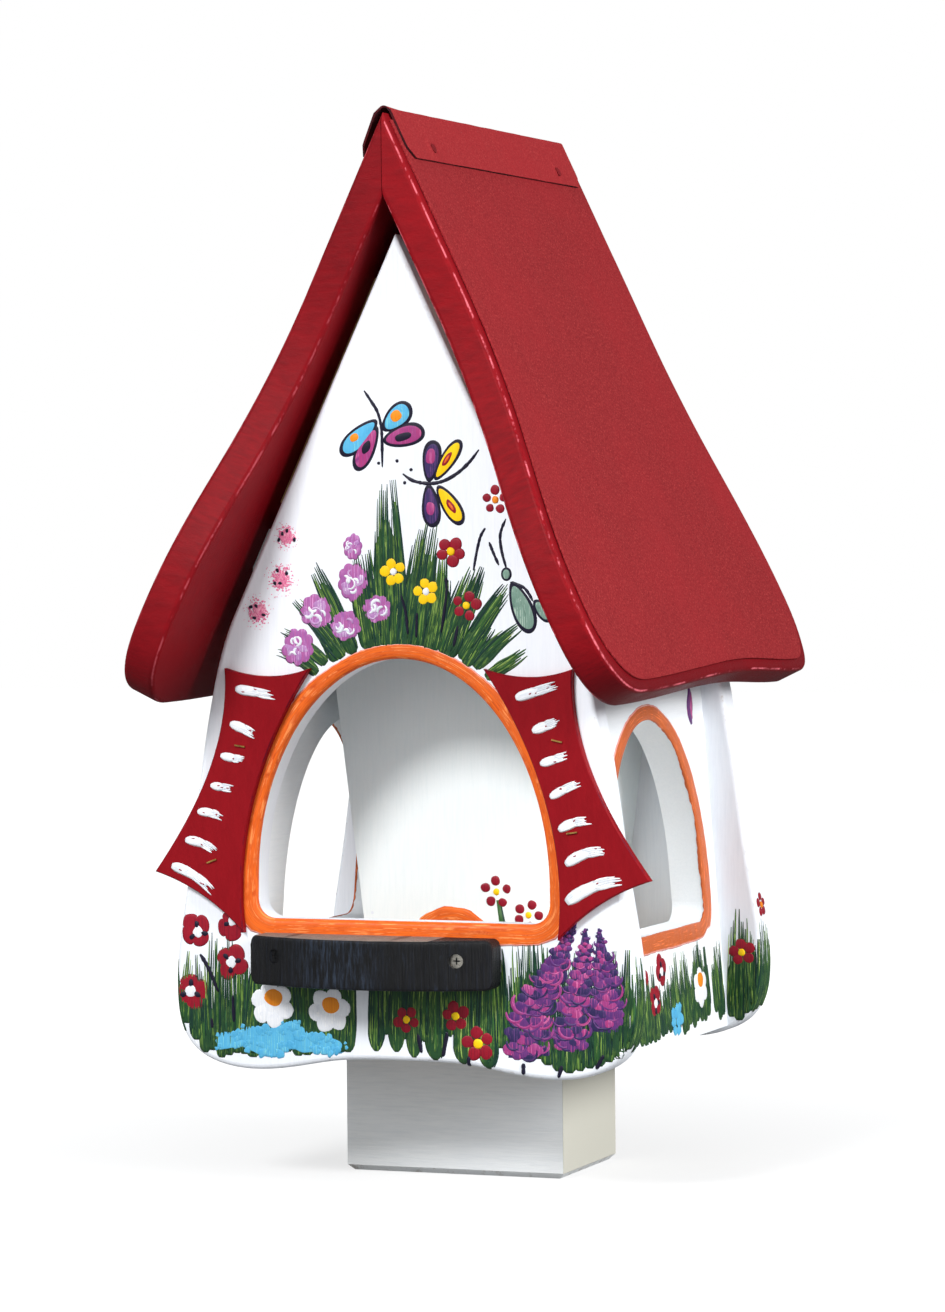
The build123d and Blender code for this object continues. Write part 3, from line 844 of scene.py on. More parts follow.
def bloom(film, centre, radius, tall=1.0):
    """A round flower head: a scalloped orchid pad with curled lilac and white touches."""
    rng = film.random
    edge = lobed(centre, radius * 1.04, 9, 0.16, rng.uniform(0, 40))
    edge = [(u, centre[1] + (v - centre[1]) * tall) for u, v in edge]
    film.blob(uneven(edge, rng, 0.14, 4), "orchid", 0.34)
    for _ in range(4):
        a, r = rng.uniform(0, 6.28), radius * rng.uniform(0.3, 0.6)
        spot = (centre[0] + r * math.cos(a), centre[1] + r * math.sin(a) * tall)
        outline = ellipse(spot, radius * 0.34, radius * 0.24, rng.uniform(0, 180), 16)
        film.blob(uneven(outline, rng, 0.25), "lilac", 0.44, tone=rng.uniform(0.2, 0.9))
    for k in range(7):
        a = rng.uniform(0, 6.28)
        r = radius * 0.5 * math.sqrt(rng.uniform(0.0, 1.0))
        spot = (centre[0] - radius * 0.08 + r * math.cos(a), centre[1] + r * math.sin(a) * tall)
        turn, bend = rng.uniform(0, 6.28), rng.uniform(0.35, 0.6)
        q = radius * rng.uniform(0.18, 0.3)
        angles = [turn + s * bend for s in range(7)]
        arc = [(spot[0] + q * math.cos(b), spot[1] + q * math.sin(b)) for b in angles]
        fat = radius * rng.uniform(0.16, 0.26)
        sizes = [fat * s for s in (0.4, 0.85, 1, 1.05, 1, 0.8, 0.4)]
        film.ribbon(arc, sizes, "lilac" if k < 2 else "white", 0.62 + 0.03 * k, tone=rng.uniform(0, 0.7))


def sponge(film, centre, radius, spots):
    """Stippled pink: a scatter of tiny dabs, thinning outwards, under a few dark touches."""
    rng = film.random
    for _ in range(420):
        r = radius * min(1.25, abs(rng.gauss(0, 0.52)))
        a = rng.uniform(0, 6.28)
        place = (centre[0] + r * math.cos(a) * 0.92, centre[1] + r * math.sin(a))
        size = max(0.2, (1.15 - 0.7 * r / radius) * rng.uniform(0.4, 1.1))
        outline = uneven(ellipse(place, size, size * rng.uniform(0.5, 1), rng.uniform(0, 180), 9), rng, 0.3)
        film.blob(outline, "pink", rng.uniform(0.1, 0.32), tone=rng.uniform(0, 1))
    for spot in spots:
        film.blob(uneven(ellipse(spot, 1.25, 0.9, rng.uniform(0, 180), 12), rng, 0.25), "navy", 0.5)


def wing_mark(film, root, far, wide, paint, spot, spot_size, spot_paint, core=None):
    """A butterfly wing: dark rim, coloured field and an inner spot."""
    du, dv = far[0] - root[0], far[1] - root[1]
    turn = math.degrees(math.atan2(dv, du))
    long = math.hypot(du, dv) / 2
    centre = ((root[0] + far[0]) / 2, (root[1] + far[1]) / 2)
    outer = ellipse(centre, long + WING_RIM, wide + WING_RIM, turn, 40, WING_EGG)
    film.blob(uneven(outer, film.random, 0.04), "navy", 0.26, soft=0.9)
    field = ellipse(centre, long - 0.2, wide - 0.15, turn, 40, WING_EGG)
    film.blob(uneven(field, film.random, 0.05), paint, 0.36, soft=0.8)
    film.blob(uneven(ellipse(spot, *spot_size, turn, 22), film.random, 0.14), spot_paint, 0.5)
    if core:
        inner = ellipse(spot, spot_size[0] * 0.6, spot_size[1] * 0.45, turn, 16)
        film.blob(uneven(inner, film.random, 0.1), core, 0.62)


def spike(film, path, widths):
    """A lupin-like spike: cupped petals in rows, small at its tip and broad at its foot."""
    rng = film.random
    way = curve(path, 8)
    halves = [w / 2 for w, _ in curve([(w, 0) for w in widths], 8)]
    left = [(u - h * 0.86, v) for (u, v), h in zip(way, halves)]
    right = [(u + h * 0.86, v) for (u, v), h in zip(way, halves)]
    shape = right + list(reversed(left))
    middle = way[len(way) * 2 // 3]
    film.blob(uneven(shape, rng, 0.03, 5), "indigo", 0.22, soft=0.9, centre=middle)
    travelled = 0.0
    rows = []
    for i in range(1, len(way)):
        travelled += math.hypot(way[i][0] - way[i - 1][0], way[i][1] - way[i - 1][1])
        if travelled >= 1.5 + halves[i] * 0.3:
            travelled = 0.0
            rows.append((way[i], halves[i], i / len(way)))
    for (u, v), half, t in reversed(rows):
        count = max(1, round(half / 2.6))
        for k in range(-count, count + 1):
            off = k / (count + 0.001)
            size = max(1.0, min(5.0, half * 0.55)) * rng.uniform(0.7, 1.15)
            cu = u + off * max(0.0, half - size * 0.6) * rng.uniform(0.85, 1.05)
            cv = v + abs(off) * half * 0.16 + rng.uniform(-1.6, 1.6)
            lean = off * 34 + rng.uniform(-40, 40)
            lift = 0.3 + 0.25 * (1 - t) + rng.uniform(0, 0.1)
            weights = (3, 1, 5) if abs(off) > 0.8 else (6, 3, 1)
            paint = rng.choices(("plum", "magenta", "indigo"), weights=weights)[0]
            pad = uneven(ellipse((cu, cv), size * 0.95, size * 0.74, off * 20, 14), rng, 0.22)
            film.blob(pad, paint, lift, tone=rng.uniform(0, 1), soft=0.5)
            if rng.random() < 0.55:
                continue
            arc = []
            for step in range(8):
                b = math.radians(196 + step * 21 + lean)
                arc.append((cu + size * math.cos(b), cv + size * 0.5 + size * math.sin(b)))
            fat = size * rng.uniform(0.3, 0.55)
            paint = rng.choices(("plum", "magenta", "indigo"), weights=(3, 2, 4))[0]
            sizes = [fat * s for s in (0.4, 0.75, 0.95, 1, 1, 0.95, 0.75, 0.4)]
            film.ribbon(arc, sizes, paint, lift + 0.08, tone=rng.uniform(0, 1))


def meadow(film, left, right, foot, top, spacing, width, lean, ragged, spread=6.0):
    """Upright grass strokes side by side from a foot line up to a top line, both given as functions."""
    rng = film.random
    u = left
    while u < right:
        w = rng.uniform(*width)
        low, high = foot(u) + rng.uniform(0.0, 4.5), top(u) + rng.uniform(-spread, spread * 0.7)
        tilt = rng.uniform(-lean, lean)
        path = [(u, low), (u + tilt * 0.2, low * 0.6 + high * 0.4), (u + tilt, high)]
        blade(film, path, w, ragged=ragged * rng.uniform(0.7, 1.3), lift=rng.uniform(0.1, 0.24))
        u += spacing * rng.uniform(0.8, 1.2)


def stepped(points):
    """A function that joins (u, v) points with straight lines."""

    def at(u):
        for (u0, v0), (u1, v1) in zip(points, points[1:]):
            if u <= u1:
                return v0 + (v1 - v0) * (u - u0) / (u1 - u0)
        return points[-1][1]

    return at


def opening_loop(half, spring, top, sill, corner):
    """Points and outward normals round an arched opening, starting at the left of the sill."""
    pieces = []

    def arc(cu, cv, a, b, radius_u, radius_v):
        length = abs(b - a) * (radius_u + radius_v) / 2
        count = max(4, int(length / BORDER_STEP))
        for k in range(count):
            t = a + (b - a) * k / count
            nu, nv = math.cos(t) / radius_u, math.sin(t) / radius_v
            size = math.hypot(nu, nv)
            point = (cu + radius_u * math.cos(t), cv + radius_v * math.sin(t))
            pieces.append((point, (nu / size, nv / size)))

    def run(u0, v0, u1, v1, nu, nv):
        count = max(1, int(math.hypot(u1 - u0, v1 - v0) / BORDER_STEP))
        for k in range(count):
            t = k / count
            pieces.append(((u0 + (u1 - u0) * t, v0 + (v1 - v0) * t), (nu, nv)))

    run(-half + corner, sill, half - corner, sill, 0, -1)
    arc(half - corner, sill + corner, -math.pi / 2, 0, corner, corner)
    run(half, sill + corner, half, spring, 1, 0)
    arc(0, spring, 0, math.pi, half, top - spring)
    run(-half, spring, -half, sill + corner, -1, 0)
    arc(-half + corner, sill + corner, math.pi, 1.5 * math.pi, corner, corner)
    return pieces


def ring(name, loop, face, width, paint, seed, rounded, wrap):
    """A painted border round an opening, laid over the arris and a little way into it.
    face(u, v, depth, h) places a point that far into the board and that far proud of it."""
    lift = BORDER_LIFT
    rng = random.Random(seed)
    bm = bmesh.new()
    uv = bm.loops.layers.uv.new("stroke")
    tone = bm.verts.layers.float.new("tone")
    rows = []
    slow = [rng.uniform(0, 6.28) for _ in range(6)]
    along = 0.0
    for i, ((u, v), (nu, nv)) in enumerate(loop):
        t = i / len(loop) * 2 * math.pi
        wobble = sum(math.sin((3 + 4 * k) * t + slow[k]) / (1 + k) for k in range(4)) * 0.35
        wide = width(u, v) + wobble + rng.uniform(-0.18, 0.18)
        inner = wrap * (1 + 0.5 * math.sin(9 * t + slow[4]) + rng.uniform(-0.4, 0.4))
        row = []

        def put(out, depth, h, shade):
            point = face(u + nu * out, v + nv * out, depth, h)
            vert = bm.verts.new(point)
            vert[tone] = shade
            row.append((vert, out))

        put(0.35, rounded + inner, 0.0, 0.5)
        put(-lift * 0.8, rounded + inner * 0.7, 0.0, 0.4)
        steps = 5 if rounded else 1
        for k in range(steps + 1):
            a = math.pi / 2 * k / steps
            out = rounded * (1 - math.cos(a)) - lift * math.cos(a)
            depth = rounded * (1 - math.sin(a))
            put(out, depth, lift * math.sin(a), 0.1)
        for share in (0.35, 0.6, 0.85):
            put(rounded + (wide - rounded) * share, 0, lift * (1.1 if share < 0.8 else 0.9), 0.0)
        put(wide, 0, -0.1, 0.3)
        rows.append((row, along))
        nxt = loop[(i + 1) % len(loop)][0]
        along += math.hypot(nxt[0] - u, nxt[1] - v)
    for i in range(len(rows)):
        (a, la), (b, lb) = rows[i], rows[(i + 1) % len(rows)]
        lb = lb if lb > la else la + 2
        for k in range(len(a) - 1):
            made = bm.faces.new([a[k][0], a[k + 1][0], b[k + 1][0], b[k][0]])
            made.smooth = True
            made.material_index = 1 if k == len(a) - 2 else 0
            uvs = ((a[k][1], la), (a[k + 1][1], la), (b[k + 1][1], lb), (b[k][1], lb))
            for corner, where in zip(made.loops, uvs):
                corner[uv].uv = where
        bm.faces.new([a[-1][0], a[0][0], b[0][0], b[-1][0]])
    bmesh.ops.recalc_face_normals(bm, faces=bm.faces)
    obj = made_from(bm, name, PAINTS[paint], PAINTS["blush"])
    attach(obj, "house")


# ---------------------------------------------------------------- CAD boards

FITTINGS = {
    WHITE_UP: ("body_brads", "silo_brads", "cleat_brads"),
    WOOD: ("floor_board", "cleat_front_right", "cleat_back_right", "cleat_front_left", "cleat_back_left"),
    STEEL: ("ledge_screws", "block_screws", "roof_screws"),
    BRASS: ("shutter_staples",),
    TACK_HEAD: ("ridge_tacks_right", "ridge_tacks_left"),
}
UPRIGHT_BOARDS = {
    WHITE_UP: ("front_gable", "back_gable"),
    WHITE_SILO_LIT: ("silo_front", "silo_side_left", "silo_side_right"),
    RED_SHUTTER: ("shutter_right", "shutter_left"),
}
for material, nodes in FITTINGS.items():
    for node in nodes:
        dress(node, material)
for material, nodes in UPRIGHT_BOARDS.items():
    for node in nodes:
        dress(node, material, Vector((0, 1, 0)))
dress("base_block", WHITE_BLOCK, Vector((0, 0, 1)))
dress("wall_right", WHITE_SIDE_LIT, Vector((1, 0, 0)))
dress("wall_left", WHITE_SIDE_LIT, Vector((1, 0, 0)))
dress("roof_board_right", RED_ROOF, slope_axes(1)[2])
dress("roof_board_left", RED_ROOF_LEFT_SHADED, slope_axes(-1)[2])

# The ledge's left screw was painted over with the ledge
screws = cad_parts["ledge_screws"].data
screws.materials.append(BLACK)
for polygon in screws.polygons:
    polygon.material_index = 1 if polygon.center.x < LEDGE_X * MM else 0

# ---------------------------------------------------------------- roof covering


def ridge_point(sign, down, along, out):
    """A place on one roof slope: down it, along the ridge and out of it."""
    d, a, o = slope_axes(sign)
    return (Vector((0, 0, RIDGE_Z)) + d * down + a * along + o * out) * MM


def laid_sheet(side, sign, body):
    """The sheet on one slope: soft cut edges and slight waves where it doesn't lie quite flat.
    It is cut every few millimetres, so that it can take the waves."""
    spacing = 6
    node = f"roof_sheet_{side}"
    bm = bmesh.new()
    bm.from_mesh(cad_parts[node].data)
    bmesh.ops.remove_doubles(bm, verts=bm.verts, dist=0.00001)
    bmesh.ops.dissolve_limit(bm, angle_limit=math.radians(1), verts=bm.verts, edges=bm.edges)
    rims = [e for e in bm.edges if len(e.link_faces) == 2 and e.calc_face_angle() > math.radians(60)]
    bmesh.ops.bevel(bm, geom=rims, offset=0.3 * MM, segments=2, profile=0.6, affect="EDGES")
    down, along, out = slope_axes(sign)
    for axis, first, last in ((down, 10, 312), (along, -162, 162)):
        for step in range(first, last, spacing):
            everything = bm.verts[:] + bm.edges[:] + bm.faces[:]
            start = Vector((0, 0, RIDGE_Z)) * MM + axis * step * MM
            bmesh.ops.bisect_plane(bm, geom=everything, plane_co=start, plane_no=axis)
    for vert in bm.verts:
        local = vert.co / MM - Vector((0, 0, RIDGE_Z))
        s, t = local.dot(down), local.dot(along)
        if s > STRIP_FLAP + 4:
            slow = noise.noise(Vector((s * 0.014, t * 0.018, 3.0 + sign)))
            quick = noise.noise(Vector((s * 0.05, t * 0.05, 7.0 + sign)))
            vert.co += out * MM * (0.22 + 0.3 * slow + 0.08 * quick)
    obj = made_from(bm, f"roof_covering_{side}", COVERING)
    smooth(obj.data, 35)
    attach(obj, body)
    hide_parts(node)


laid_sheet("right", 1, "house")
laid_sheet("left", -1, "lid")


def strip_section():
    """Points across the ridge strip from right to left: (distance from the fold, outer, inner)."""
    lift = SHEET + STRIP - STRIP_FOLD
    centre = Vector((0, 0, RIDGE_Z + lift / math.sin(PITCH)))
    turn = math.pi / 2 - PITCH
    flats = [STRIP_FLAP * k / 9 for k in range(9, 0, -1)]
    gap = 0.02

    def flat(sign, down):
        outer = ridge_point(sign, down, 0, SHEET + STRIP) / MM
        return down, outer, ridge_point(sign, down, 0, SHEET + gap) / MM

    def fold(angle):
        way = Vector((math.sin(angle), 0, math.cos(angle)))
        return 0.0, centre + way * STRIP_FOLD, centre + way * (STRIP_FOLD - STRIP)

    section = [flat(1, down) for down in flats]
    section += [fold(turn * k / -5) for k in range(-5, 6)]
    return section + [flat(-1, down) for down in reversed(flats)]


def strip_curl(distance, x, along):
    """How far the strip's left flap stands off the roof, near its free front corner."""
    if x >= 0:
        return 0.0
    free = max(0.0, 1 - along / CURL_LONG)
    return CURL_HIGH * free * free * min(1.0, -x / 2.5) * (1 - 0.3 * distance / STRIP_FLAP)


def strip_dimple(distance, x, y):
    """How far the strip stands up round the tacks in its right flap."""
    if x <= 1:
        return 0.0
    dimple = 0.0
    for tack_y in TACK_PLACES:
        reach = math.hypot(distance - TACK_DOWN, y - tack_y)
        dimple += DIMPLE_HIGH * math.exp(-((reach - DIMPLE_REACH) / DIMPLE_WIDE) ** 2)
    return dimple


def ridge_strip():
    """One strip of covering folded over the ridge; it is also the lid's hinge."""
    bm = bmesh.new()
    stations = STRIP_STATIONS
    rows = []
    for distance, outer, inner in strip_section():
        clip = max(0.0, distance - (STRIP_FLAP - STRIP_CLIP))
        first, last = STRIP_FRONT + clip, STRIP_BACK - clip
        row = []
        for k in range(stations + 1):
            y = first + (last - first) * k / stations
            edge = min(1.0, 0.2 + min(k, stations - k) * 0.4)
            wave = 0.16 * noise.noise(Vector((distance * 0.09, y * 0.06, 2.0))) * edge
            curl = strip_curl(distance, outer.x, y - first)
            away = (outer - inner).normalized()
            top = outer + away * (wave + strip_dimple(distance, outer.x, y) + curl)
            row.append([bm.verts.new(Vector((p.x, y, p.z)) * MM) for p in (top, inner + away * curl)])
        rows.append(row)
    for a, b in zip(rows, rows[1:]):
        for k in range(stations):
            bm.faces.new([a[k][0], a[k + 1][0], b[k + 1][0], b[k][0]])
            under = bm.faces.new([b[k][1], b[k + 1][1], a[k + 1][1], a[k][1]])
            under.material_index = 1
        for k in (0, stations):
            bm.faces.new([a[k][0], b[k][0], b[k][1], a[k][1]]).material_index = 1
    for row in (rows[0], rows[-1]):
        for k in range(stations):
            bm.faces.new([row[k][0], row[k + 1][0], row[k + 1][1], row[k][1]]).material_index = 1
    bmesh.ops.recalc_face_normals(bm, faces=bm.faces)
    obj = made_from(bm, "ridge_strip", STRIP_FACE, STRIP_UNDER)
    smooth(obj.data, 50)
    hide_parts("ridge_flap_right", "ridge_flap_left")
    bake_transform(obj)


ridge_strip()

# ---------------------------------------------------------------- landing ledge


def ledge_front(x):
    """How far forward the bowed front reaches, as a Y."""
    sag = LEDGE_OUT - LEDGE_END
    radius = (LEDGE_HALF**2 + sag**2) / (2 * sag)
    return FRONT_Y - LEDGE_OUT + radius - math.sqrt(radius**2 - (x - LEDGE_X) ** 2)


def ledge_section(x):
    """Points (y, z, wear) round the ledge at one place along it, from its lower back edge."""
    near_end = min(x - LEDGE_X + LEDGE_HALF, LEDGE_X + LEDGE_HALF - x)
    inset = 0.0
    if near_end < LEDGE_ROUND:
        inset = LEDGE_ROUND - math.sqrt(LEDGE_ROUND**2 - (LEDGE_ROUND - near_end) ** 2)
    bottom, top = LEDGE_Z[0] + inset, LEDGE_Z[1] - inset
    face = ledge_front(x)
    low_r = 1.3
    top_r = 1.5 + 0.25 * noise.noise(Vector((x * 0.9, 1.0, 0)))
    top_r += 0.35 * noise.noise(Vector((x * 0.22, 5.0, 0)))
    points = [(FRONT_Y, bottom, 0.0)]
    for k in range(5):
        a = math.pi / 2 * k / 4
        points.append((face + low_r * (1 - math.sin(a)), bottom + low_r * (1 - math.cos(a)), 0.0))
    for k in range(1, 14):
        z = bottom + low_r + (top - top_r - bottom - low_r) * k / 14
        ridge = noise.noise(Vector((x * 1.5, z * 0.05, 9.0))) * 0.16
        ridge += noise.noise(Vector((x * 0.35, z * 0.02, 4.0))) * 0.2
        points.append((face + ridge, z, 0.0))
    bare = noise.noise(Vector((x * 0.12, 0.0, 12.0))) * 0.4 + (0.76 if x < LEDGE_BARE_TO else -0.4)
    for k in range(5):
        a = math.pi / 2 * k / 4
        wear = bare if k >= 3 else 0.0
        points.append((face + top_r * (1 - math.cos(a)), top - top_r * (1 - math.sin(a)), wear))
    for share in (0.3, 0.65, 1.0):
        points.append((face + top_r + (FRONT_Y - face - top_r) * share, top, bare - 0.1))
    return points


def screw_mouths():
    """A pair of rods where the two screws are sunk into the ledge."""
    bm = bmesh.new()
    radius = (SCREW_HEAD_R + 0.05) * MM
    for dx in (-LEDGE_SCREW_DX, LEDGE_SCREW_DX):
        depth = ledge_front(LEDGE_X + dx) + LEDGE_SCREW_SUNK + 0.5
        spot = Matrix.Translation(Vector((LEDGE_X + dx, depth - 10, LEDGE_SCREW_Z)) * MM)
        turned = spot @ Matrix.Rotation(math.pi / 2, 4, "X")
        rod = dict(segments=40, radius1=radius, radius2=radius, depth=20 * MM)
        bmesh.ops.create_cone(bm, cap_ends=True, matrix=turned, **rod)
    return made_from(bm, "screw_mouths")


def landing_ledge():
    """Bowed ledge with the saw's ridges in its edge, soft arrises and paint worn off its top."""
    bm = bmesh.new()
    worn = bm.verts.layers.float.new("wear")
    left, right = LEDGE_X - LEDGE_HALF, LEDGE_X + LEDGE_HALF
    rows = []
    for i in range(LEDGE_STATIONS + 1):
        x = left + (right - left) * i / LEDGE_STATIONS
        row = []
        for y, z, wear in ledge_section(x):
            vert = bm.verts.new(Vector((x, y, z)) * MM)
            vert[worn] = wear
            row.append(vert)
        rows.append(row)
    for a, b in zip(rows, rows[1:]):
        for k in range(len(a)):
            j = (k + 1) % len(a)
            bm.faces.new([a[k], a[j], b[j], b[k]])
    bm.faces.new(rows[0])
    bm.faces.new(list(reversed(rows[-1])))
    bmesh.ops.recalc_face_normals(bm, faces=bm.faces)
    obj = made_from(bm, "ledge_bar", BLACK)
    cutter = screw_mouths()
    boolean = obj.modifiers.new("mouths", "BOOLEAN")
    boolean.object, boolean.operation, boolean.solver = cutter, "DIFFERENCE", "EXACT"
    graph = bpy.context.evaluated_depsgraph_get()
    cut = bpy.data.meshes.new_from_object(obj.evaluated_get(graph))
    obj.modifiers.clear()
    obj.data = cut
    bpy.data.objects.remove(cutter)
    smooth(obj.data, 40)
    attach(obj, "house")
    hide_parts("landing_ledge")


landing_ledge()

# ---------------------------------------------------------------- borders of the openings

FRONT_OPENING = dict(half=79.4, spring=155.0, top=269.5, sill=137.0, corner=10.0)
SIDE_OPENING = dict(half=69.5, spring=150.0, top=234.5, sill=124.5, corner=10.0)


def front_width(u, v):
    if v < 139:
        return 12.2 - 1.5 * abs(u) / 80
    return 12.0 - 4.2 * min(1.0, max(0.0, (v - 150) / 115)) ** 1.3


def side_width(u, v):
    if v < 127:
        return 9.6
    return 13.0 - 4.6 * min(1.0, max(0.0, (v - 150) / 84))


def front_face(u, v, depth, h):
    return Vector((u, FRONT_Y + depth - h, v)) * MM


def wall_face(sign):
    place = side_wall(sign)

    def face(u, v, depth, h):
        return place(u, v, 0) + Vector((sign * (h - depth), 0, 0)) * MM

    return face


ring("front_border", opening_loop(**FRONT_OPENING), front_face, front_width, "orange", 5, EASE, 0.6)
for side, sign in SIDES:
    loop = opening_loop(**SIDE_OPENING)
    ring(f"{side}_border", loop, wall_face(sign), side_width, "rust", 6, 0.0, 1.2)

# ---------------------------------------------------------------- shutters' dashes


def dash(film, centre, long, fat, turn, bow=0.0):
    """A short white dash: a full round start, a split dry end and a few missed flecks."""
    rng = film.random
    ct, st = math.cos(math.radians(turn)), math.sin(math.radians(turn))

    def at(p, q):
        q += bow * (1 - (2 * p / long) ** 2)
        return (centre[0] + p * ct - q * st, centre[1] + p * st + q * ct)

    start = -long / 2
    count = 15
    spine, sizes = [], []
    for k in range(count):
        t = k / (count - 1)
        spine.append(at(start + long * 0.86 * t, 0))
        rise = math.sqrt(1 - (1 - min(1.0, (t + 0.04) * long / fat * 0.8)) ** 2)
        sizes.append(fat * rise * (1 - 0.55 * t**3) * rng.uniform(0.97, 1.04))
    film.ribbon(spine, sizes, "dash", 0.4)
    for k in range(5):
        q = (k - 2) / 4 * fat * 0.62
        first = start + long * rng.uniform(0.45, 0.6)
        stop = start + long * rng.uniform(0.86, 1.1)
        strand = [at(first + (stop - first) * m / 6, q + rng.uniform(-0.1, 0.1)) for m in range(7)]
        sizes = [fat * 0.22 * m for m in (0.5, 1.1, 1.2, 1.1, 0.95, 0.7, 0.3)]
        film.ribbon(strand, sizes, "dash", 0.46, tone=rng.uniform(0, 0.8))
    for _ in range(rng.choice((1, 2, 3))):
        spot = at(long * rng.uniform(-0.3, 0.35), fat * rng.uniform(-0.25, 0.25))
        long_fleck, wide_fleck = rng.uniform(0.5, 1.1), rng.uniform(0.25, 0.45)
        outline = ellipse(spot, long_fleck, wide_fleck, turn + rng.uniform(-20, 20), 9)
        film.blob(uneven(outline, rng, 0.3), "crimson", 0.62)


# Each shutter's dashes from the top down: (middle, length, thickness, slant, bow)
DASHES = {
    "left": (
        ((-77.5, 252.5), 20.5, 5.8, -9, 0.0),
        ((-84.0, 233.5), 15.0, 6.0, -22, 0.4),
        ((-90.5, 219.0), 12.0, 5.2, -10, 0.0),
        ((-96.5, 204.0), 11.5, 5.0, -8, 0.0),
        ((-103.0, 190.0), 13.5, 5.2, -10, 0.8),
        ((-108.6, 174.0), 17.0, 5.6, -18, 1.4),
        ((-113.5, 157.3), 25.0, 6.0, -29, 1.8),
    ),
    "right": (
        ((74.4, 253.2), 21.0, 5.8, 17, 0.0),
        ((80.0, 236.4), 15.0, 5.8, 21, 0.0),
        ((83.7, 219.6), 14.0, 5.2, 18, 0.0),
        ((89.5, 204.6), 16.5, 5.2, 26, 0.4),
        ((94.3, 187.3), 16.5, 5.6, 18, 1.2),
        ((99.8, 171.3), 21.0, 6.2, 20, 1.8),
        ((104.5, 154.8), 31.0, 7.0, 22, 2.2),
    ),
}
for side, marks in DASHES.items():
    seed = 11 if side == "left" else 12
    dashes = Film(f"shutter_dashes_{side}", flat_face(SHUTTER_Y), seed, slot="red_wood")
    for mark in marks:
        dash(dashes, *mark)
    dashes.finish()

# ---------------------------------------------------------------- upper gable

fan = Film("fan_grass", FRONT_RIM.place, 21)
# Each blade of the fan: (path from its foot, width, how ragged it ends)
FAN = (
    ([(-44, 262), (-54, 269), (-66, 273)], 8.0, 0.4),
    ([(-39, 267), (-51, 276), (-64, 283)], 8.5, 0.35),
    ([(-30, 270), (-42, 285), (-56, 299)], 11.0, 0.35),
    ([(-24, 272), (-35, 295), (-46, 317)], 11.0, 0.3),
    ([(-16, 274), (-20, 300), (-23, 323)], 12.0, 0.35),
    ([(-10, 274), (-13, 300), (-16, 324)], 9.0, 0.4),
    ([(-4, 274), (-6, 316), (-6, 357)], 16.0, 0.5),
    ([(0, 274), (2.5, 302), (-2, 359)], 6.0, 0.15),
    ([(3, 274), (8, 306), (13, 334)], 10.0, 0.45),
    ([(9, 274), (14, 308), (20, 340)], 15.0, 0.5),
    ([(18, 273), (23, 299), (25, 322)], 13.0, 0.45),
    ([(24, 272), (32, 296), (40, 315)], 11.0, 0.4),
    ([(28, 271), (38, 294), (46, 315)], 9.0, 0.4),
    ([(34, 269), (47, 289), (60, 306)], 11.0, 0.35),
    ([(41, 265), (53, 277), (65, 286)], 9.5, 0.45),
    ([(47, 260), (59, 267), (70, 274)], 8.0, 0.45),
    ([(-34, 268), (-39, 280), (-46, 291)], 10.0, 0.25),
    ([(-14, 273), (-18, 288), (-21, 300)], 12.0, 0.25),
    ([(-4, 273), (-4, 290), (-3, 303)], 14.0, 0.25),
    ([(8, 273), (10, 290), (12, 303)], 13.0, 0.25),
    ([(17, 272), (20, 287), (22, 300)], 12.0, 0.25),
    ([(27, 270), (32, 283), (36, 294)], 11.0, 0.25),
    ([(36, 266), (43, 277), (50, 286)], 10.0, 0.25),
)
for path, width, ragged in FAN:
    blade(fan, path, width, ragged=ragged, lift=fan.random.uniform(0.1, 0.22))
for points in (
    [(2, 301.5), (4.5, 292), (5.5, 281.5)],
    [(10.5, 292.5), (10, 280)],
    [(26, 310), (26.5, 302.5), (23.5, 282.5)],
    [(32.5, 286), (30, 275.5)],
):
    line(fan, points, 1.5, lift=0.6)
for centre, radius, tall in (
    ((-24, 325.5), 5.2, 1.3),
    ((-24, 308), 8.8, 1.1),
    ((-44, 293), 9.6, 0.95),
    ((-28.5, 286), 9.2, 0.86),
    ((-11, 294.5), 8.8, 0.86),
    ((-54.5, 275), 9.0, 1.1),
):
    bloom(fan, centre, radius, tall)
for centre in ((-2, 313), (15.5, 303)):
    dot_flower(fan, centre, 4.3, 3.1, turn=100, petal="yellow", eye="white", eye_size=2.1)
dot_flower(fan, (29, 323), 4.7, 3.3, turn=60)
dot_flower(fan, (37, 296), 5.0, 3.1, turn=75)
fan.finish()

butterflies = Film("butterflies", FRONT_RIM.place, 31)
# Wings: (root, far end, half width, field, spot, spot's size, spot's colour, and its core if any)
BLUE_WINGS = (
    ((-10.5, 388.5), (-29.5, 372.5), 4.6, "sky", (-22.5, 380.5), (2.9, 2.4), "amber"),
    ((-6.5, 384.5), (7.5, 396.0), 5.2, "sky", (0.3, 391), (3.9, 3.2), "amber"),
    ((-10.5, 385.5), (-21.5, 364.5), 4.2, "magenta", (-16, 375.5), (4.4, 2.3), "navy"),
    ((-6.5, 378.5), (15.0, 383.5), 4.9, "magenta", (4, 380.5), (5.6, 2.4), "navy"),
)
YELLOW_WINGS = (
    ((17.6, 358.5), (20.5, 378), 4.2, "indigo", (18.8, 370.5), (4.8, 2.9), "magenta"),
    ((21, 359), (34.5, 378), 3.3, "yellow", (27.5, 369), (5.0, 1.7), "crimson", "orange"),
    ((17.5, 356), (19.5, 335.5), 4.2, "indigo", (18.4, 344.5), (4.0, 2.7), "magenta"),
    ((22.5, 355.5), (35, 337), 3.9, "yellow", (29.5, 345.5), (4.8, 1.9), "crimson", "orange"),
)
BLUE_BODY = [(-17, 404), (-13.5, 399), (-10, 393.5), (-8, 386.5), (-7.5, 377.5), (-7.5, 365.5)]
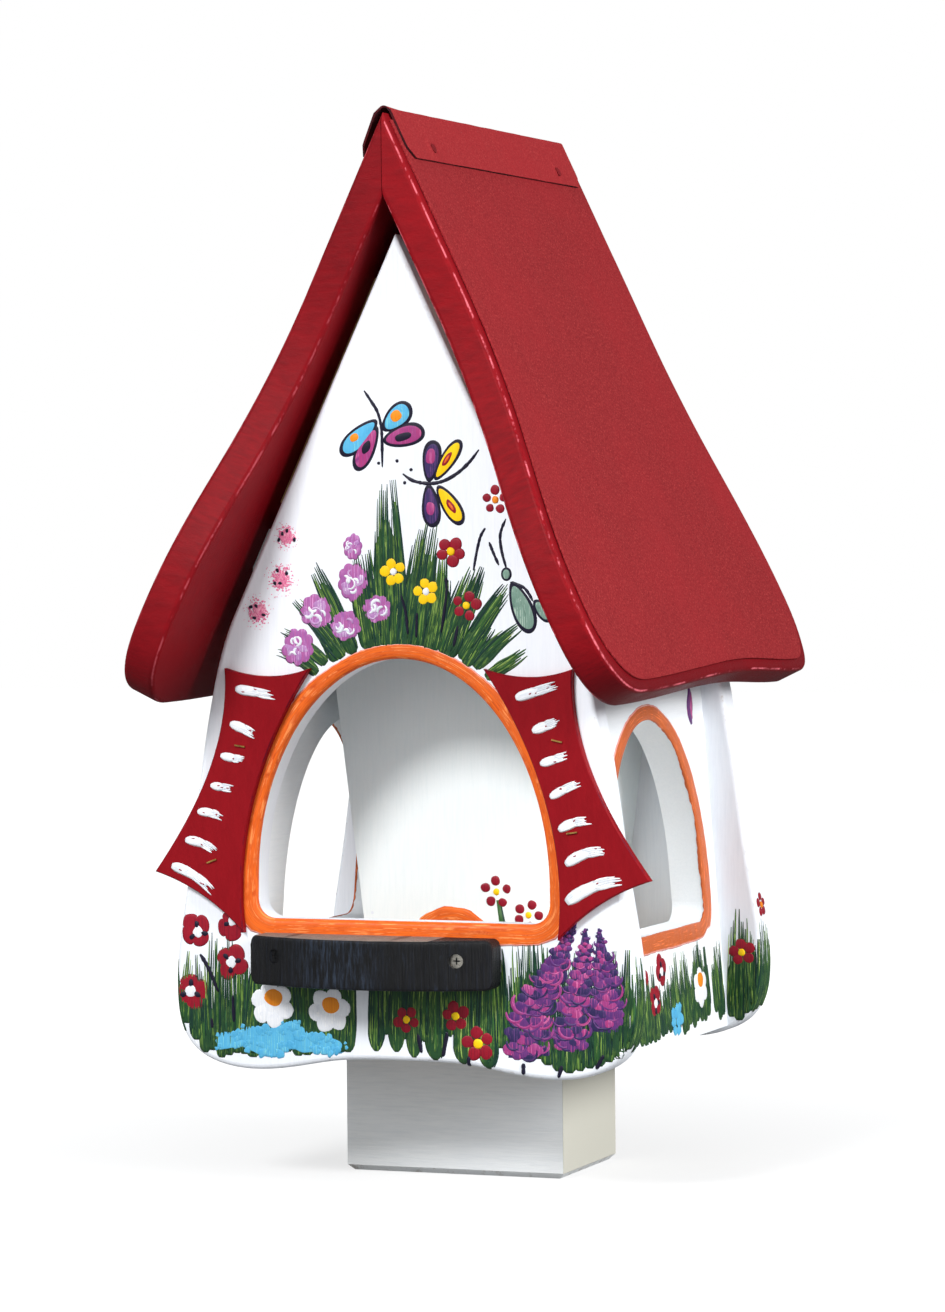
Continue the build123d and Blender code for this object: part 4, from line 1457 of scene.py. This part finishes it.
YELLOW_BODY = [(3.5, 362), (9, 358.5), (17, 357), (25, 358), (33, 362), (39.5, 367.5), (44.5, 373.5)]
for wings, trunk, fat in ((BLUE_WINGS, BLUE_BODY, 1.4), (YELLOW_WINGS, YELLOW_BODY, 1.5)):
    for mark in wings:
        wing_mark(butterflies, *mark)
    line(butterflies, trunk, fat)
for centre in ((-9.5, 367.5), (0.5, 368.5), (8, 364), (4.5, 357.5)):
    dot(butterflies, centre, 0.95, "navy", 0.4)
dot_flower(butterflies, (53, 348.5), 4.9, 2.4, turn=90, eye="amber", eye_size=1.9)
for points in (
    [(47.5, 334.5), (45, 330.5), (43, 323.5), (41, 313.5)],
    [(58.5, 339), (55.5, 331.5), (56, 323.5), (58.5, 314.5)],
    [(49.5, 327.5), (51.5, 322.5), (54.5, 316)],
    [(60.5, 307.5), (68, 304.5), (72.5, 298)],
):
    line(butterflies, points, 1.3)
butterflies.blob(ellipse((58.5, 311.5), 3.6, 3.0, 90, 20), "navy", 0.3)
butterflies.blob(ellipse((58.5, 311.5), 2.7, 2.1, 90, 20), "sage", 0.5)
for root, far, wide in (((61.5, 307), (71.5, 283), 5.0), ((73.5, 298), (82, 289), 3.2)):
    wing_mark(butterflies, root, far, wide, "sage", middle_of((root, far)), (6, 1.2), "sage")
for centre, radius, spots in (
    ((-60.5, 331.5), 6.2, [(-64.5, 329.5), (-62.5, 332.5), (-60, 334), (-56, 329.5)]),
    ((-63.5, 309.5), 8.2, [(-65.5, 314), (-60.5, 312.5), (-67, 307.5), (-64, 307.5)]),
    ((-76.5, 293), 7.6, [(-80.5, 295.5), (-77.5, 296), (-78.5, 290), (-73.5, 291.5)]),
):
    sponge(butterflies, centre, radius, spots)
butterflies.finish()

# ---------------------------------------------------------------- lower gable

grass = Film("front_grass", FRONT_RIM.place, 41)
foot = stepped(
    [(-122, 92), (-118, 78), (-110, 66), (-101, 64), (-94, 65), (-83, 65), (-72, 68), (-56, 67), (-33, 69)]
    + [(-25, 74), (-17, 70), (-12, 75), (-5, 70), (3, 68), (18, 67), (22, 76), (28, 69), (35, 67), (38, 71)]
    + [(45, 65), (52, 73), (59, 71), (74, 66), (83, 63), (94, 62), (108, 64), (119, 73), (124, 82)]
)
top = stepped(
    [(-124, 128), (-117, 122), (-112, 116), (-106, 126), (-101, 136), (-95, 132), (-90, 118), (-80, 112)]
    + [(-40, 112), (50, 116), (54, 127), (60, 121), (66, 127), (72, 131), (80, 130), (90, 122), (104, 124)]
    + [(112, 128), (118, 132), (124, 124)]
)
# Broad blades under the ledge: (place along the foot, foot height, width), and those filling between them
MIDDLE_BLADES = (
    (-14.0, 71.5, 11.0),
    (-3.0, 71.5, 11.0),
    (6.5, 69.0, 10.5),
    (18.0, 68.0, 13.5),
    (33.0, 66.5, 13.0),
    (46.5, 64.5, 13.0),
)
GAP_BLADES = ((-8.5, 80.0), (1.5, 78.0), (12.0, 77.0), (26.0, 80.0), (40.0, 77.0))
meadow(grass, -119, -80, foot, top, 5.0, (8, 11), 3.0, 0.5)
meadow(grass, -82, -31, foot, top, 6.0, (10, 13), 1.5, 0.1)
blade(grass, [(-29.5, 70.5), (-29.5, 90), (-28.5, 114)], 11.5, ragged=0.1, foot=0.6)
for u, low in GAP_BLADES:
    blade(grass, [(u, low), (u, 96), (u + 0.5, 114)], 9.5, ragged=0.1, foot=0.3)
for u, low, width in MIDDLE_BLADES:
    blade(grass, [(u, low), (u, low + 16), (u + 0.5, 114)], width, ragged=0.1, lift=0.2, foot=0.45)
meadow(grass, 53, 121, foot, top, 5.0, (9, 12), 2.0, 0.5)
for points in (
    [(-111, 118), (-106.5, 111), (-101, 99)],
    [(-93, 97.5), (-92.5, 84)],
    [(-105, 85.5), (-104.5, 80.5)],
    [(8.5, 81), (10.5, 71.5)],
    [(24.5, 82.5), (22, 70)],
    [(36, 70.5), (35.5, 65.5)],
    [(65, 68), (65, 62.5)],
    [(85.5, 67.5), (83.5, 61.5)],
    [(107.5, 73.5), (103.5, 66.5)],
):
    line(grass, points, 1.8, lift=0.6)
grass.finish()

flowers = Film("front_flowers", FRONT_RIM.place, 43)
for centre, radius, eye, turn in (
    ((-93, 133), 8.6, (-92.5, 135.5), 10),
    ((-113.5, 130.5), 9.4, (-112, 129.5), 35),
    ((-93, 114.5), 9.6, (-93.5, 114.5), 60),
    ((-115.5, 98.5), 10.2, (-116.5, 99), 15),
):
    poppy(flowers, centre, radius, eye, turn)
daisy(flowers, (-71, 93.5), 12.0, (-70, 97), 100)
daisy(flowers, (-39.5, 91.5), 11.5, (-38.5, 94), 70)
cloud = curve(
    [(-106.5, 74), (-101, 79), (-94.5, 78), (-87.5, 82), (-78, 83), (-70.5, 82.5), (-58, 87), (-53, 83)]
    + [(-47.5, 78.5), (-38, 78), (-29.5, 75), (-32.5, 69.5), (-44, 70), (-53.5, 69), (-61, 72), (-68.5, 66.5)]
    + [(-78, 67), (-86, 69.5), (-93.5, 72), (-103, 69), (-106.5, 74)],
    5,
)[:-1]
CLOUD_MIDDLE = (-68, 75.5)
flowers.blob(uneven(cloud, flowers.random, 0.015, 9), "sky", 0.34, soft=0.8, centre=CLOUD_MIDDLE)
for _ in range(90):
    u, v = flowers.random.choice(cloud)
    pull = flowers.random.uniform(0.0, 0.45)
    spot = (u + (CLOUD_MIDDLE[0] - u) * pull, v + (CLOUD_MIDDLE[1] - v) * min(1.0, pull * 1.6))
    dot(flowers, spot, flowers.random.uniform(0.9, 2.8), "sky", 0.48, 0.4)
dot_flower(flowers, (2.5, 88), 4.4, 3.0, turn=50)
dot_flower(flowers, (29, 90.5), 4.8, 3.4, turn=100)
dot_flower(flowers, (41, 77), 5.6, 4.0, turn=95)
spike(flowers, [(105.5, 137), (107, 124), (109, 110), (109, 96), (108.5, 84)], [1.5, 8, 14, 18, 17])
spike(flowers, [(98.5, 137), (98, 124), (95.5, 108), (91.5, 94), (89.5, 74)], [1.5, 8, 13, 17, 20])
spike(flowers, [(94.5, 141), (88, 129), (82, 115), (74, 101), (69, 88), (67.5, 70)], [1.5, 8, 14, 19, 24, 25])
flowers.finish()

# ---------------------------------------------------------------- silo front

silo = Film("silo_marks", flat_face(SILO_Y), 51)
rim = [(22.0 * math.cos(math.radians(a)), 112.4 + 22.5 * math.sin(math.radians(a))) for a in range(2, 179, 8)]
silo.ribbon(rim, [9.5 + 0.8 * math.sin(k * 1.7) for k in range(len(rim))], "orange", 0.3)
silo.ribbon([(26, 143), (28, 130), (31, 114)], [2.6, 3.4, 3.8], "leaf", 0.2)
silo.ribbon([(27.4, 141), (29.6, 130), (32.6, 114)], [0.8, 1.2, 1.4], "teal", 0.34)
dot_flower(silo, (25, 147.2), 6.0, 2.6, turn=90)
dot_flower(silo, (42.5, 135.6), 5.6, 2.5, turn=68)
silo.finish()

# ---------------------------------------------------------------- side walls and back


def side_marks(side, sign):
    """The painting on a side wall: grass, poppies, a daisy and a plum dab by the opening."""
    film = Film(f"wall_marks_{side}", side_wall(sign), 61 if sign > 0 else 62)
    low = stepped(
        [(-92, 69), (-60, 70), (-20, 68), (0, 72), (20, 68)]
        + [(40, 70), (60, 71), (74, 78), (80, 69), (92, 70)]
    )
    high = stepped(
        [(-92, 116), (-60, 112), (-34, 110), (-20, 104), (-6, 100), (4, 108), (16, 114), (30, 112)]
        + [(40, 104), (50, 114), (62, 112), (74, 104), (92, 118)]
    )
    meadow(film, -86, 66, low, high, 6.2, (9, 12), 1.5, 0.5)
    meadow(film, 76, 88, low, high, 6.0, (8, 10), 1.5, 0.5)
    poppy(film, (-8, 106), 8.8, (-8, 105), turn=20)
    poppy(film, (-20.5, 91), 9.2, (-20.5, 90), turn=50)
    poppy(film, (-37, 103.5), 8.6, (-36, 103), turn=0)
    daisy(film, (52, 91), 10.5, (52, 95), 90)
    for _ in range(26):
        spot = (11 + film.random.uniform(-8, 8), 78 + film.random.uniform(-6, 7))
        dot(film, spot, film.random.uniform(1.6, 3.4), "sky", 0.5, 0.4)
    dab = [(71.5 + 0.8 * math.sin(k), 248.5 - 2.8 * k) for k in range(8)]
    film.ribbon(dab, [3.0, 6.2, 9.0, 10.5, 10.8, 9.2, 6.4, 3.0], "plum", 0.3)
    film.ribbon([(u + 1.8, v) for u, v in dab[1:-1]], [2, 3.4, 4.6, 4.6, 3.4, 2], "magenta", 0.42)
    film.finish()


for side, sign in SIDES:
    side_marks(side, sign)

edge_low = stepped([(-110, 76), (-94, 72), (92, 74), (112, 72)])
for side, sign in SIDES:
    for end, rim_of, first_y in (("front", FRONT_RIM, FRONT_Y), ("back", BACK_RIM, WING_Y)):
        name = f"{end}_edge_{side}"
        film = Film(name, gable_edge(rim_of, sign, first_y), 71 + len(name) + sign)
        edge_high = stepped([(first_y, 118), (first_y + 6, 128), (first_y + 18, 112)])
        meadow(film, first_y + 1.5, first_y + 16, edge_low, edge_high, 3.2, (4, 6), 0.6, 0.5, spread=4)
        if end == "back":
            dot_flower(film, (first_y + 9, 131), 4.4, 2.5, turn=90, eye="amber")
        film.finish()

for side, sign in SIDES:
    film = Film(f"wing_marks_{side}", flat_face(WING_Y, sign), 81 + sign)
    wing_low = stepped([(104, 70), (113, 68), (120, 78)])
    wing_high = stepped([(104, 118), (110, 130), (116, 124), (122, 112)])
    meadow(film, 108, 120, wing_low, wing_high, 4.0, (6, 8), 1.0, 0.4, spread=3)
    dot_flower(film, (114, 106), 4.6, 3.2, turn=100)
    film.finish()

rear = Film("back_grass", back, 91)
rear_foot = stepped(
    [(-122, 90), (-112, 68), (-94, 65), (-50, 68), (0, 71), (50, 68), (94, 65), (112, 68), (122, 90)]
)
rear_top = stepped(
    [(-122, 120), (-104, 132), (-86, 118), (-60, 126), (-30, 116)]
    + [(0, 124), (40, 118), (80, 128), (122, 120)]
)
meadow(rear, -117, 118, rear_foot, rear_top, 6.6, (10, 13), 2.5, 0.45)
rear.finish()

rear_flowers = Film("back_flowers", back, 93)
for centre, turn in (((-96, 112), 20), ((-78, 98), 50), ((84, 104), 10), ((102, 118), 35)):
    poppy(rear_flowers, centre, 9.5, centre, turn=turn)
for centre in ((-48, 92), (10, 98)):
    daisy(rear_flowers, centre, 11.5, (centre[0] + 1, centre[1] + 3), 80)
for centre in ((-22, 88), (36, 92), (58, 84)):
    dot_flower(rear_flowers, centre, 5.4, 3.8, turn=95)
spike(rear_flowers, [(-64, 160), (-62, 140), (-60, 120), (-60, 96)], [1.5, 9, 15, 19])
spike(rear_flowers, [(70, 150), (68, 132), (66, 112), (66, 92)], [1.5, 8, 14, 17])
rear_flowers.finish()

# ---------------------------------------------------------------- studio

bpy.context.scene.view_settings.view_transform = "Standard"
bpy.context.scene.view_settings.look = "None"

grid = bmesh.new()
bmesh.ops.create_grid(grid, x_segments=8, y_segments=8, size=FLOOR_SIZE)
made_from(grid, "floor", floor_paper("floor_paper"))

world = bpy.data.worlds.new("studio")
bpy.context.scene.world = world
world.use_nodes = True
sky = world.node_tree
# The camera sees plain white behind the house; the house itself is lit by a dimmer, cooler sky
ambient = sky.nodes["Background"]
ambient.inputs["Color"].default_value = (0.93, 0.965, 1.0, 1.0)
ambient.inputs["Strength"].default_value = AMBIENT
backdrop = sky.nodes.new("ShaderNodeBackground")
backdrop.inputs["Color"].default_value = (1.0, 1.0, 1.0, 1.0)
backdrop.inputs["Strength"].default_value = 1.0
either = sky.nodes.new("ShaderNodeMixShader")
seen_by = sky.nodes.new("ShaderNodeLightPath")
sky.links.new(seen_by.outputs["Is Camera Ray"], either.inputs["Fac"])
sky.links.new(ambient.outputs["Background"], either.inputs[1])
sky.links.new(backdrop.outputs["Background"], either.inputs[2])
sky.links.new(either.outputs["Shader"], sky.nodes["World Output"].inputs["Surface"])


def softbox(name, azimuth, elevation, distance, size, power):
    """An area light aimed at the house; azimuth 0 is straight in front, positive to the right."""
    aim = Vector((0, 0, LIGHTS_AIM_Z))
    a, e = math.radians(azimuth), math.radians(elevation)
    away = Vector((math.sin(a) * math.cos(e), -math.cos(a) * math.cos(e), math.sin(e)))
    light = bpy.data.lights.new(name, "AREA")
    light.shape = "DISK"
    light.size = size
    light.energy = power
    obj = link(bpy.data.objects.new(name, light))
    obj.location = aim + away * distance
    obj.rotation_euler = (-away).to_track_quat("-Z", "Y").to_euler()


softbox("key", -13, 36, 2.6, 0.7, 57)
softbox("front_fill", -8, 14, 2.6, 1.2, 5)
softbox("left_fill", -60, 14, 2.6, 1.2, 6)
softbox("right_fill", 76, 22, 2.6, 1.4, 76)

# ---------------------------------------------------------------- camera

CAMERA_PLACE = Vector((0.87647, -2.25647, 0.34206))
CAMERA_RIGHT = Vector((0.93182, 0.36279, -0.01000))
CAMERA_UP = Vector((-0.00190, 0.03243, 0.99947))
CAMERA_LENS = 176.2

camera_data = bpy.data.cameras.new("camera")
camera_data.sensor_fit = "HORIZONTAL"
camera_data.sensor_width = 36.0
camera_data.lens = CAMERA_LENS
camera_data.clip_start = 0.05
camera = link(bpy.data.objects.new("camera", camera_data))
back_axis = CAMERA_RIGHT.cross(CAMERA_UP)
camera.matrix_world = Matrix.Translation(CAMERA_PLACE) @ Matrix(
    (CAMERA_RIGHT, CAMERA_UP, back_axis)
).transposed().to_4x4()
bpy.context.scene.camera = camera
